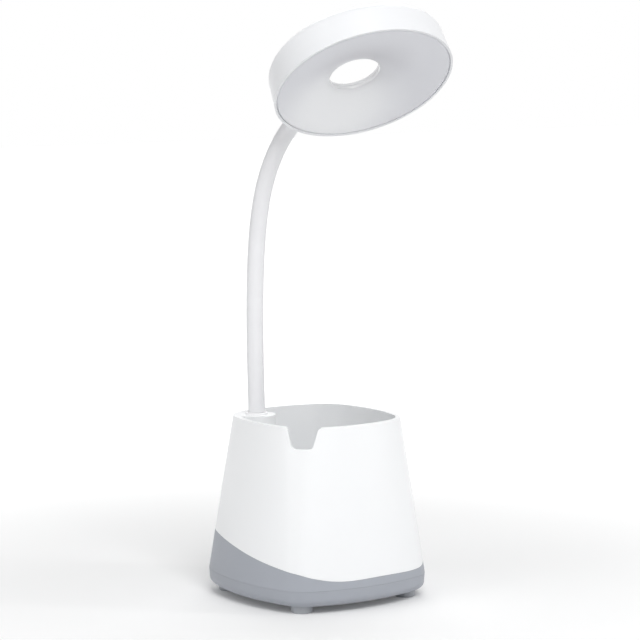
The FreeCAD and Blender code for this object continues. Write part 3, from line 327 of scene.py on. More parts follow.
@dataclass(frozen=True)
class BoardLacquer(Coating):
    """Solder mask over copper tracks: the tracks stand out as slightly lighter, raised lanes.

    Attributes:
        track: Mask over copper, sRGB.
        pitch_mm: Pitch of the tracks.
    """

    track: str
    pitch_mm: float = 2.2

    def wire(self, nodes: Surface) -> Settings:
        """Add the lanes."""
        lanes = nodes.add("ShaderNodeTexBrick", {
            "Scale": 1000 / self.pitch_mm, "Mortar Size": 0.08, "Brick Width": 3.0, "Row Height": 1.0,
            "Color1": linear(self.colour), "Color2": linear(self.colour), "Mortar": linear(self.track),
            "Vector": nodes.place})
        bump = nodes.add("ShaderNodeBump", {"Strength": 0.2, "Distance": 0.05 * MM,
                                            "Height": lanes.outputs["Fac"]})
        return {"Base Color": lanes, "Normal": bump, "IOR": 1.5}


class Finish(Enum):
    """The lamp's finishes, each made once."""

    CUP = MouldedPlastic("Moulded_white_ABS_cup", "#F8F9FA", 0.36, "#F6F7F8", coat=0.15)
    HOUSING = MouldedPlastic("Moulded_white_ABS_head", "#EFF0F2", 0.33, "#EDEEF0", 0.5, coat=0.15)
    TRIM = MouldedPlastic("Polished_white_ABS_trim", "#F7F7F8", 0.2, "#F4F4F6", grain_depth=0.02, coat=0.4)
    SLEEVE = SiliconeSleeve("Extruded_silicone_sleeve", "#F0F0F2", 0.42, "#EAEAEC")
    SKIN = MouldedPlastic("Moulded_grey_ABS", "#A7ABB3", 0.44, "#A3A7AF", 0.6, 0.08)
    BUTTON = MouldedPlastic("Moulded_grey_ABS_button", "#8E929A", 0.4, "#8A8E96")
    FOOT = MouldedPlastic("Moulded_foot_rubber", "#B4B7BC", 0.5, "#ADB0B5", 0.8, 0.12, 1.5)
    # The opal sheet's colour carries painted shade and painted light round its hole
    DIFFUSER = OpalSheet("Vacuum_formed_opal_acrylic", "#E1E2E7", 0.34)
    PLAIN_STEEL = PlatedSteel("Zinc_plated_steel", "#9A9B9D", 0.42)
    BRIGHT_STEEL = PlatedSteel("Nickel_plated_steel", "#C9C8C5", 0.22, 0.3)
    BLACK = MouldedPlastic("Moulded_black_nylon", "#1B1C1E", 0.5, "#222326", 0.7, 0.1)
    PLUG = MouldedPlastic("Moulded_natural_nylon", "#E3DFCF", 0.45, "#DCD7C4")
    WRAP = MouldedPlastic("Shrunk_cell_wrap", "#3C6AA8", 0.25, "#3763A0", 1.5)
    BOARD = BoardLacquer("Green_board_lacquer", "#12502C", 0.35, "#1E6B3D")
    LIGHT_BOARD = BoardLacquer("White_board_lacquer", "#F0F0EC", 0.35, "#E2E2DC", 3.0)
    CHIP = MouldedPlastic("Light_chip_phosphor", "#F1DD8A", 0.4, "#EFD87C", 0.3)
    LEAD = MouldedPlastic("Extruded_vinyl_lead", "#1E1E20", 0.5, "#26262A", 1.0)

    def material(self) -> bpy.types.Material:
        """Return this finish's material, made at its first use."""
        return bpy.data.materials.get(self.value.title) or self.value.make()


def dress(piece: Piece, finish: Finish) -> None:
    """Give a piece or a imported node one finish, on its object's slots.

    Args:
        piece: The object to dress.
        finish: The finish that it takes.
    """
    if not piece.data.materials:
        piece.data.materials.append(None)
    for slot in piece.material_slots:
        slot.link = "OBJECT"
        slot.material = finish.material()


def hand_over(piece: Piece, body: str, slot: str, finish: Finish, *nodes: str) -> None:
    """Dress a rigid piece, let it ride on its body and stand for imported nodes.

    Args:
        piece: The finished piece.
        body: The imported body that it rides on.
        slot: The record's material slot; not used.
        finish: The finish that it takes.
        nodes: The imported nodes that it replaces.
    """
    dress(piece, finish)
    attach(piece, body)
    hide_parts(*nodes)
    LOG.info("%s rides on %s in place of %s", piece.name, body, ", ".join(nodes))


# --- modelling by hand


class RingSkin:
    """A skin pulled by hand through closed rings of equally many points.

    The first ring is a circle primitive laid on its points.  Each later ring is extruded from the
    open edge and laid on its own.
    """

    def __init__(self, name: str, rings: Sequence[Sequence[Vector]], capped: bool = False) -> None:
        """Pull the skin, and stay in edit mode.

        Args:
            name: The piece's name.
            rings: The points of each ring, in millimetres.
            capped: True to close the first and the last ring with a flat face.
        """
        select_nothing()
        bpy.ops.mesh.primitive_circle_add(vertices=len(rings[0]), radius=MM, location=(0, 0, 0))
        self.piece = bpy.context.object
        self.piece.name = name
        self.piece.data.name = name
        bpy.ops.object.mode_set(mode="EDIT")
        mesh = bmesh.from_edit_mesh(self.piece.data)
        columns = mesh.verts.layers.int.new("column")
        mesh.verts.layers.int.new("row")
        mesh.verts.ensure_lookup_table()
        for index, vertex in enumerate(mesh.verts):
            vertex[columns] = index
        for row, ring in enumerate(rings):
            if row:
                bpy.ops.mesh.extrude_edges_move()
            self._lay(ring, row)
            if capped and row in (0, len(rings) - 1):
                bpy.ops.mesh.edge_face_add()

    def _lay(self, ring: Sequence[Vector], row: int) -> None:
        """Move the selected open ring onto its points and number it."""
        mesh = bmesh.from_edit_mesh(self.piece.data)
        columns = mesh.verts.layers.int["column"]
        rows = mesh.verts.layers.int["row"]
        for vertex in mesh.verts:
            if vertex.select:
                vertex.co = ring[vertex[columns]] * MM
                vertex[rows] = row
        bmesh.update_edit_mesh(self.piece.data)

    def bevel(self, rows: set[int], width: float, steps: int) -> None:
        """Round the edges that run along some rings.

        Args:
            rows: Numbers of the rings to round.
            width: Width of the rounding, in millimetres.
            steps: Number of faces across it.
        """
        bpy.ops.mesh.select_all(action="DESELECT")
        mesh = bmesh.from_edit_mesh(self.piece.data)
        layer = mesh.verts.layers.int["row"]
        for edge in mesh.edges:
            first, second = (vertex[layer] for vertex in edge.verts)
            edge.select_set(first == second and first in rows)
        bmesh.update_edit_mesh(self.piece.data)
        bpy.ops.mesh.bevel(offset=width * MM, segments=steps, affect="EDGES")

    def finish(self, smooth: float = 32.0) -> Piece:
        """Merge seams and poles, turn the faces outwards and smooth the shading.

        Args:
            smooth: Largest angle between faces that shade as one, in degrees.

        Returns:
            The finished piece, in object mode.
        """
        weld()
        bpy.ops.mesh.normals_make_consistent(inside=False)
        bpy.ops.object.mode_set(mode="OBJECT")
        for name in ("column", "row"):
            self.piece.data.attributes.remove(self.piece.data.attributes[name])
        bpy.ops.object.shade_smooth_by_angle(angle=math.radians(smooth))
        return self.piece


def circle(count: int, radius: float, height: float, centre: Sequence[float] = (0.0, 0.0)) -> list[Vector]:
    """Points of a level circle, counter-clockwise from +X."""
    turns = (2 * math.pi * i / count for i in range(count))
    x, y = centre
    return [Vector((x + radius * math.cos(a), y + radius * math.sin(a), height)) for a in turns]


def arc(start: float, stop: float, steps: int) -> list[float]:
    """Evenly spaced angles in degrees from start to stop, both included, in radians."""
    return [math.radians(start + (stop - start) * i / steps) for i in range(steps + 1)]


def rounding(across: float, up: float, radius: float, start: float, stop: float,
             steps: int) -> list[tuple[float, float]]:
    """Points of an arc round a middle that is given as (across, up), from one angle to another."""
    return [(across + radius * math.cos(a), up + radius * math.sin(a)) for a in arc(start, stop, steps)]


def carve(piece: Piece, cutter: Piece) -> None:
    """Cut one closed mesh out of another and delete the cutter."""
    select_only(piece)
    cut = piece.modifiers.new("cut", "BOOLEAN")
    cut.operation = "DIFFERENCE"
    cut.solver = "EXACT"
    cut.object = cutter
    bpy.ops.object.modifier_apply(modifier=cut.name)
    select_only(cutter)
    bpy.ops.object.delete()
    select_only(piece)


def merged_copy(node: str, name: str, smooth: float = 30.0) -> Piece:
    """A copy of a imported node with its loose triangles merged, for smooth shading.

    Args:
        node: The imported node.
        name: Name of the copy.
        smooth: Largest angle between faces that shade as one, in degrees.

    Returns:
        The copy, free of its parent, at the origin.
    """
    twin = bpy.data.objects.new(name, bpy.data.objects[node].data.copy())
    bpy.context.scene.collection.objects.link(twin)
    select_only(twin)
    bpy.ops.object.mode_set(mode="EDIT")
    weld(0.001 * MM)
    bpy.ops.object.mode_set(mode="OBJECT")
    bpy.ops.object.shade_smooth_by_angle(angle=math.radians(smooth))
    return twin


# --- the base


@dataclass(frozen=True)
class BasePlan:
    """Plan of the tapered base: a square with bowed sides and round corners, narrower at the rim."""

    seam_height: float = 14.2
    rim_height: float = RIM_HEIGHT
    seam_sizes: tuple[float, float, float] = (57.5, 118.0, 19.0)
    rim_sizes: tuple[float, float, float] = (45.4, 93.0, 25.0)
    wave_turn: float = math.radians(4)
    wave_line: tuple[tuple[float, float], ...] = (
        (-57.5, 19.22), (-55.5, 18.68), (-53.5, 18.79), (-51.5, 19.45), (-49.5, 20.46), (-47.5, 21.58),
        (-45, 22.87), (-42.5, 23.84), (-40, 24.51), (-37, 25.11), (-33, 25.79), (-25, 27.11),
        (-15, 28.81), (0, 31.6), (15, 34.32), (30, 36.6), (42, 38.15), (57.5, 39.9))

    def _arcs(self, height: float, inset: float) -> tuple[float, float, float, float]:
        """Set-back and radius of the side arcs, centre and radius of the corner arcs."""
        share = (height - self.seam_height) / (self.rim_height - self.seam_height)
        half, bow, corner = (a * (1 - share) + b * share - inset
                             for a, b in zip(self.seam_sizes, self.rim_sizes))
        back = bow - half
        middle = (math.sqrt(2 * (bow - corner) ** 2 - back ** 2) - back) / 2
        return back, bow, middle, corner

    def reach(self, angle: float, height: float, inset: float = 0.0) -> float:
        """Distance from the axis to the outline, in a direction given in radians."""
        back, bow, middle, corner = self._arcs(height, inset)
        rest = angle - round(angle / (math.pi / 2)) * math.pi / 2
        far = -back * math.cos(rest) + math.sqrt(bow ** 2 - (back * math.sin(rest)) ** 2)
        if abs(far * math.sin(rest)) <= bow * math.sin(math.atan2(middle, middle + back)):
            return far
        lean = middle * (math.cos(rest) + abs(math.sin(rest)))
        return lean + math.sqrt(lean ** 2 - 2 * middle ** 2 + corner ** 2)

    def along(self, lateral: float, height: float, inset: float = 0.0) -> float:
        """Distance along a corner's diagonal to the outline, beside the diagonal by lateral."""
        back, bow, middle, corner = self._arcs(height, inset)
        side = abs(lateral)
        half_turn = math.pi / 4 - math.atan2(middle, middle + back)
        if side <= corner * math.sin(half_turn):
            return middle * math.sqrt(2) + math.sqrt(corner ** 2 - side ** 2)
        shift = back / math.sqrt(2)
        return -shift + math.sqrt(bow ** 2 - (side + shift) ** 2)

    def point(self, angle: float, height: float, inset: float = 0.0) -> Vector:
        """A point of the outline in a direction."""
        far = self.reach(angle, height, inset)
        return Vector((far * math.cos(angle), far * math.sin(angle), height))

    def ring(self, turns: Sequence[float], level: Level, inset: float) -> list[Vector]:
        """Points of the outline in some directions, each at its own level."""
        return [self.point(turn, level(turn), inset) for turn in turns]

    def wave(self, angle: float) -> float:
        """Height of the line where the grey skin ends, on the outline in a direction."""
        height = 30.0
        for _ in range(6):
            spot = self.point(angle, height)
            height = self._wave_height(spot.y * math.cos(self.wave_turn) - spot.x * math.sin(self.wave_turn))
        return height

    def _wave_height(self, place: float) -> float:
        """Height of the wave line at a place across it, on a smooth curve through its points."""
        line = self.wave_line
        if not line[0][0] < place < line[-1][0]:
            return line[0 if place <= line[0][0] else -1][1]
        i = max(k for k in range(len(line) - 1) if line[k][0] <= place)

        def slope(k: int) -> float:
            """Slope of the curve at one of its points."""
            (x0, z0), (x1, z1) = line[max(k - 1, 0)], line[min(k + 1, len(line) - 1)]
            return (z1 - z0) / (x1 - x0)

        run = line[i + 1][0] - line[i][0]
        t = (place - line[i][0]) / run
        return ((2 * t ** 3 - 3 * t * t + 1) * line[i][1] + (t ** 3 - 2 * t * t + t) * run * slope(i)
                + (3 * t * t - 2 * t ** 3) * line[i + 1][1] + (t ** 3 - t * t) * run * slope(i + 1))

    @staticmethod
    def corner_point(turn: float, along: float, lateral: float, height: float) -> Vector:
        """A point given in a corner's own directions: along its diagonal and beside it."""
        return Vector((along * math.cos(turn) - lateral * math.sin(turn),
                       along * math.sin(turn) + lateral * math.cos(turn), height))


@dataclass
class PenCup:
    """White cup: tapered wall with a round rim, the notch, the arm's boss and the well."""

    plan: BasePlan = field(default_factory=BasePlan)
    wall: float = 3.0
    rim_round: float = 1.2
    rim_clear: float = 0.2
    notch_half_width: float = 9.25
    notch_floor_half: float = 6.0
    notch_depth: float = 12.5
    notch_round: float = 3.6
    lip_round: float = 2.2
    notch_turn: float = math.radians(225)
    notch_zone: float = math.radians(16.5)
    boss_turn: float = math.radians(135)
    boss_zone: float = math.radians(22)
    boss_radius: float = 11.5
    boss_along: float = ARM_PLACE * math.sqrt(2)
    boss_fillet: float = 2.0
    well_floor: float = 36.0
    floor_round: float = 1.5
    floor_thickness: float = 2.4
    rebate: float = 1.6
    wave_gap: float = 0.05
    wave_round: float = 0.45
    settled_height: float = 84.0
    plain_heights: tuple[float, ...] = (76.0, 68.0, 60.0, 52.0)
    low_rows: int = 6
    fan_rows: int = 7
    column_step: float = 1.6

    def notch_profile(self) -> list[tuple[Vector, Vector]]:
        """Points of the notch's edge and the way into the wall at each, from one lip to the other.

        Returns:
            Pairs of a point (beside, height) and a unit direction in the same plane.
        """
        top = self.plan.rim_height
        low = top - self.notch_depth
        side = Vector((self.notch_half_width - self.notch_floor_half, self.notch_depth)).normalized()
        bend = math.tan(math.acos(side.x) / 2)
        lip_end = Vector((self.notch_half_width, top)) - side * (self.lip_round * bend)
        lip_middle = Vector((self.notch_half_width + self.lip_round * bend, top - self.lip_round))
        low_middle = Vector((self.notch_floor_half - self.notch_round * bend, low + self.notch_round))
        into = Vector((side.y, -side.x))
        lean = math.degrees(math.atan2(side.y, side.x))
        half = [(Vector((low_middle.x * share, low)), Vector((0.0, -1.0))) for share in (0.0, 0.5)]
        for a in arc(-90, lean - 90, 8):
            ray = Vector((math.cos(a), math.sin(a)))
            half.append((low_middle + ray * self.notch_round, ray))
        start = half[-1][0]
        half += [(start.lerp(lip_end, share), into.copy()) for share in (0.2, 0.4, 0.6, 0.8)]
        for a in arc(lean + 90, 90, 7):
            ray = Vector((math.cos(a), math.sin(a)))
            half.append((lip_middle + ray * self.lip_round, -ray))
        half.append((Vector((lip_middle.x + 0.8, top)), Vector((0.0, -1.0))))
        return [(Vector((-p.x, p.y)), Vector((-n.x, n.y))) for p, n in reversed(half[1:])] + half

    def notch_offsets(self) -> list[float]:
        """Angle from the notch's middle for each point of its edge, by the way along the edge."""
        edge = [point for point, _ in self.notch_profile()]
        runs = [0.0]
        for a, b in zip(edge, edge[1:]):
            runs.append(runs[-1] + (b - a).length)
        return [self.notch_zone * (2 * run / runs[-1] - 1) for run in runs]

    def notch_columns(self, inset: float) -> list[list[Vector]]:
        """Columns of wall points round the notch, from its edge down to the settled height.

        Args:
            inset: Distance of this face behind the outline.

        Returns:
            One list of points for each column.
        """
        columns = []
        for (edge, into), offset in zip(self.notch_profile(), self.notch_offsets()):
            far = self.plan.reach(self.notch_turn + offset, self.settled_height, inset)
            settled = Vector((far * math.sin(offset), self.settled_height))
            near = edge + into * (self.rim_round + self.rim_clear)
            rows = [edge] + [near.lerp(settled, i / self.fan_rows) for i in range(self.fan_rows + 1)]
            columns.append([self.plan.corner_point(self.notch_turn, self.plan.along(x, z, inset), x, z)
                            for x, z in rows])
        return columns

    def boss_path(self, height: float) -> list[Vector]:
        """The well's outline round the boss at a height, from wall to wall."""
        inset = self.wall
        limit = self.boss_radius
        wide = limit + self.boss_fillet
        start = self.plan.reach(self.boss_turn + self.boss_zone, height, inset) * math.sin(self.boss_zone)
        half = [(self.boss_along - limit * math.cos(a), limit * math.sin(a)) for a in arc(0, 90, 9)]
        corner = self.plan.along(limit, height, inset)
        line_end = corner - self.boss_fillet
        half += [(self.boss_along + (line_end - self.boss_along) * share, limit) for share in (0.4, 0.8)]
        wall_start = self.plan.along(wide, height, inset)
        for t in (i / 5 for i in range(6)):
            half.append(((1 - t) ** 2 * line_end + 2 * t * (1 - t) * corner + t * t * wall_start,
                         (1 - t) ** 2 * limit + 2 * t * (1 - t) * limit + t * t * wide))
        for s in (wide + (start - wide) * share for share in (0.33, 0.66, 1.0)):
            half.append((self.plan.along(s, height, inset), s))
        path = [(a, -s) for a, s in reversed(half[1:])] + half
        return [self.plan.corner_point(self.boss_turn, a, s, height) for a, s in path]

    def plain_turns(self) -> list[list[float]]:
        """Directions of the plain columns, before and after the boss."""
        spread = []
        first = self.notch_turn - 2 * math.pi + self.notch_zone, self.boss_turn - self.boss_zone
        second = self.boss_turn + self.boss_zone, self.notch_turn - self.notch_zone
        for start, stop in (first, second):
            count = round(math.degrees(stop - start) / self.column_step)
            spread.append([start + (stop - start) * (i + 1) / (count + 1) for i in range(count)])
        return spread

    def rings(self, inset: float, floor: float | None) -> list[list[Vector]]:
        """All rings of one face of the wall, from the rim's edge down.

        Args:
            inset: Distance of the face behind the outline.
            floor: Height where the face ends, or None to end it on the wave line.

        Returns:
            Rings from the top down.
        """
        top = self.plan.rim_height
        near = top - self.rim_round - self.rim_clear
        fan = [near + (self.settled_height - near) * i / self.fan_rows for i in range(self.fan_rows + 1)]
        notch = self.notch_columns(inset)
        before, after = self.plain_turns()
        notch_turns = [self.notch_turn + offset for offset in self.notch_offsets()]
        last = len(self.boss_path(top)) - 1
        boss_turns = [self.boss_turn + self.boss_zone * (2 * i / last - 1) for i in range(last + 1)]
        knee = self.plain_heights[-1]

        def low(turn: float) -> float:
            """Height where the face ends in a direction."""
            return self.plan.wave(turn) if floor is None else floor

        levels: list[Level] = [lambda _, z=z: z for z in (top, *fan, *self.plain_heights)]
        levels += [lambda turn, s=i / self.low_rows: knee + (low(turn) - knee) * s
                   for i in range(1, self.low_rows + 1)]
        rings = []
        for index, level in enumerate(levels):
            ring = self.plan.ring(before, level, inset)
            ring += self.plan.ring(boss_turns, level, inset) if floor is None else self.boss_path(level(0.0))
            ring += self.plan.ring(after, level, inset)
            if index <= len(fan):
                ring += [column[index] for column in notch]
            else:
                ring += self.plan.ring(notch_turns, level, inset)
            rings.append(ring)
        return rings

    def build(self) -> Piece:
        """Pull the cup from under its floor, over the rim and down into the well."""
        plan = self.plan
        outer = self.rings(0.0, None)
        inner = self.rings(self.wall, self.well_floor + self.floor_round)
        turns = [math.atan2(p.y, p.x) for p in outer[-1]]
        start = [plan.ring(turns, lambda _: self.well_floor - self.floor_thickness, self.wall),
                 plan.ring(turns, lambda _: plan.seam_height, self.wall),
                 plan.ring(turns, lambda _: plan.seam_height, self.rebate),
                 plan.ring(turns, lambda turn: plan.wave(turn) + self.wave_gap, self.rebate),
                 [p + Vector((0, 0, self.wave_gap)) for p in outer[-1]]]
        rings = [*start, *reversed(outer[:-1]), *inner]
        for a in arc(0, 90, 4)[1:]:
            rings.append(self._drawn_in(inner[-1], self.floor_round * (1 - math.cos(a)),
                                        self.floor_round * math.sin(a)))
        rim = len(start) + len(outer) - 2
        skin = RingSkin("cup_white", rings, capped=True)
        skin.bevel({rim, rim + 1}, self.rim_round, 4)
        skin.bevel({len(start) - 1}, self.wave_round, 3)
        return skin.finish()

    @staticmethod
    def _drawn_in(ring: Sequence[Vector], shift: float, drop: float) -> list[Vector]:
        """A ring moved inwards, square to itself, and down."""
        moved = []
        for before, here, after in zip([ring[-1], *ring[:-1]], ring, [*ring[1:], ring[0]]):
            way = (after - before).normalized()
            moved.append(here + Vector((-way.y, way.x, 0)) * shift - Vector((0, 0, drop)))
        return moved


@dataclass
class GreyFoot:
    """Grey skin round the cup's foot and the tray under it, with the seam between them."""

    plan: BasePlan = field(default_factory=BasePlan)
    thickness: float = 1.5
    wave_gap: float = 0.05
    seam_gap: float = 0.04
    edge_round: float = 0.18
    tray_bottom: float = 4.5
    tray_round: float = 5.0
    tray_inset: float = 0.3
    tray_flat: float = 6.0
    tray_floor: float = 2.5
    lip_inset: float = 3.1
    lip_thickness: float = 1.3
    lip_rise: float = 3.0
    columns: int = 240
    crowding: float = 0.11
    rows: int = 9

    def _turns(self) -> list[float]:
        """Directions of the columns, closer together round the corners."""
        turns = (2 * math.pi * i / self.columns for i in range(self.columns))
        return [a + self.crowding * math.sin(4 * a) for a in turns]

    def build_skin(self) -> Piece:
        """Pull the grey skin up to the wave line and back down inside."""
        turns = self._turns()
        low = self.plan.seam_height + self.seam_gap
        tops = [self.plan.wave(a) - self.wave_gap for a in turns]
        steps = [(i, 0.0) for i in range(self.rows + 1)]
        steps += [(i, self.thickness) for i in range(self.rows, -1, -1)]
        steps.append((0, 0.0))
        rings = [[self.plan.point(a, low + (top - low) * i / self.rows, inset)
                  for a, top in zip(turns, tops)] for i, inset in steps]
        skin = RingSkin("skin_grey", rings)
        weld()
        skin.bevel({0, self.rows, len(rings) - 1}, self.edge_round, 3)
        return skin.finish()

    def build_tray(self) -> Piece:
        """Pull the tray from its flat bottom round the big edge to the seam and the inner lip."""
        seam = self.plan.seam_height - self.seam_gap
        inner = self.lip_inset + self.lip_thickness
        steps = [(self.tray_inset + self.tray_round + self.tray_flat, self.tray_bottom)]
        steps += rounding(self.tray_inset + self.tray_round, self.tray_bottom + self.tray_round,
                          self.tray_round, 270, 180, 8)
        edge = len(steps)
        steps += [(0.0, seam), (self.lip_inset, seam), (self.lip_inset, seam + self.lip_rise),
                  (inner, seam + self.lip_rise), (inner, self.tray_bottom + self.tray_floor)]
        skin = RingSkin("tray_grey", [self._ring(*step) for step in steps], capped=True)
        skin.bevel({edge}, self.edge_round, 3)
        return skin.finish()

    def _ring(self, inset: float, height: float) -> list[Vector]:
        """The seam's outline drawn in and laid at a height."""
        out = []
        for turn in self._turns():
            far = self.plan.reach(turn, self.plan.seam_height, inset)
            out.append(Vector((far * math.cos(turn), far * math.sin(turn), height)))
        return out


@dataclass
class BackOpenings:
    """The button's hole and the socket's slot, cut through the back of the cup and its skin."""

    button_height: float = 28.0
    hole_radius: float = 4.1
    slot_height: float = 20.63
    slot_radius: float = 2.13
    slot_half: float = 2.84
    start: float = 50.0
    depth: float = 14.0

    def cutter(self, is_slot: bool) -> Piece:
        """A plug that fills one of the openings."""
        if is_slot:
            outline = [*rounding(self.slot_half, self.slot_height, self.slot_radius, -90, 90, 12),
                       *rounding(-self.slot_half, self.slot_height, self.slot_radius, 90, 270, 12)]
        else:
            outline = rounding(0.0, self.button_height, self.hole_radius, 0, 352.5, 47)
        rings = [[Vector((x, y, z)) for x, z in outline] for y in (self.start, self.start + self.depth)]
        return RingSkin("plug", rings, capped=True).finish()

    def carve(self, piece: Piece) -> None:
        """Cut both openings through a piece."""
        for is_slot in (False, True):
            carve(piece, self.cutter(is_slot))
        bpy.ops.object.shade_smooth_by_angle(angle=math.radians(32))


@dataclass
class SmallBasePieces:
    """Feet, push button and the collar round the arm's foot."""

    foot_spot: float = 37.7
    foot_radius: float = 6.5
    foot_top: float = 5.7
    foot_round: float = 0.8
    collar_bore: float = 4.2
    collar_radius: float = 6.7
    collar_height: float = 1.4
    collar_round: float = 0.6
    button_radius: float = 3.8
    button_face: float = 57.0
    button_round: float = 0.6

    def build_foot(self, index: int, x: float, y: float) -> Piece:
        """A rubber foot with a round lower edge and a shallow ring pressed into its face."""
        wide, bend = self.foot_radius, self.foot_round
        # The pressed face lies 0.35 above the tread, and the side leans in by 0.15
        profile = [(2.2, 0.35), (wide - 2.4, 0.35), (wide - 2.0, 0.0),
                   *rounding(wide - bend, bend, bend, -90, 0, 5), (wide - 0.15, self.foot_top)]
        return RingSkin(f"foot_{index}", [circle(64, r, z, (x, y)) for r, z in profile], capped=True).finish()

    def build_collar(self) -> Piece:
        """A thin collar with a round upper edge."""
        low, bend = RIM_HEIGHT, self.collar_round
        top = low + self.collar_height
        profile = [(self.collar_bore, low), (self.collar_radius, low),
                   *rounding(self.collar_radius - bend, top - bend, bend, 0, 90, 5),
                   (self.collar_bore, top), (self.collar_bore, low)]
        rings = [circle(96, r, z, (-ARM_PLACE, ARM_PLACE)) for r, z in profile]
        return RingSkin("arm_collar_white", rings).finish()

    def build_button(self) -> Piece:
        """Button cap with a round edge, a faint dish in its face and a flange behind the wall."""
        wide, bend = self.button_radius, self.button_round
        profile = [(0.01, -0.35), (1.6, -0.3), (2.6, -0.12), (wide - bend, 0.0),
                   *rounding(wide - bend, -bend, bend, 90, 0, 5),
                   (wide, -5.6), (4.8, -5.6), (4.8, -6.8), (0.01, -6.8)]
        rings = [[Vector((p.x, self.button_face + depth, BackOpenings.button_height + p.y))
                  for p in circle(64, radius, 0.0)] for radius, depth in profile]
        return RingSkin("push_button_grey", rings, capped=True).finish()


# --- the arm


@dataclass
class Arm:
    """Sleeved gooseneck: one smooth tube, in lengths that each bend across one joint."""

    foot: tuple[float, float, float] = (-ARM_PLACE, ARM_PLACE, 109.2)
    heading: float = -74.0
    lean: float = -1.8
    radius: float = 5.15
    root_length: float = 10.6
    link_length: float = 23.4
    turns: tuple[float, ...] = (0.5, 1.3, 1.9, 3.3, 7.1, 12.5, 15.8)
    neck_length: float = 13.2
    neck_turn: float = 15.5
    sides: int = 40

    def stations(self) -> list[tuple[Matrix, int]]:
        """Frames along the centre line about a millimetre apart, each with the half link it is in."""
        here = (Matrix.Translation(Vector(self.foot)) @ Matrix.Rotation(math.radians(self.heading), 4, "Z")
                @ Matrix.Rotation(math.radians(self.lean), 4, "Y"))
        pieces = [(self.root_length, 0.0, 0)]
        for i, turn in enumerate(self.turns):
            pieces += [(self.link_length / 2, turn / 2, i), (self.link_length / 2, turn / 2, i + 1)]
        pieces.append((self.neck_length, self.neck_turn, len(self.turns)))
        out = [(here.copy(), 0)]
        for length, turn, segment in pieces:
            steps = max(2, round(length))
            for _ in range(steps):
                here = here @ self._step(length / steps, turn / steps)
                out.append((here.copy(), segment))
        return out

    @staticmethod
    def _step(length: float, turn: float) -> Matrix:
        """The move along a short bent stretch."""
        a = math.radians(turn)
        if abs(a) < 1e-9:
            return Matrix.Translation(Vector((0, 0, length)))
        bow = length / a
        way = Vector((bow * (1 - math.cos(a)), 0, bow * math.sin(a)))
        return Matrix.Translation(way) @ Matrix.Rotation(a, 4, "Y")

    def build(self) -> list[tuple[Piece, Vector, Vector]]:
        """Build the lengths of sleeve.

        Returns:
            Each length with the middle of its two ends, in metres, in order from the foot.
        """
        stations = self.stations()
        lengths = []
        for segment in range(len(self.turns) + 1):
            own = [frame for frame, place in stations if place == segment]
            if segment:
                own.insert(0, [frame for frame, place in stations if place == segment - 1][-1])
            rings = [[frame @ point for point in circle(self.sides, self.radius, 0.0)] for frame in own]
            piece = RingSkin(f"sleeve_{segment + 1}", rings, capped=True).finish(40.0)
            lengths.append((piece, own[0].translation * MM, own[-1].translation * MM))
        return lengths


# --- the head


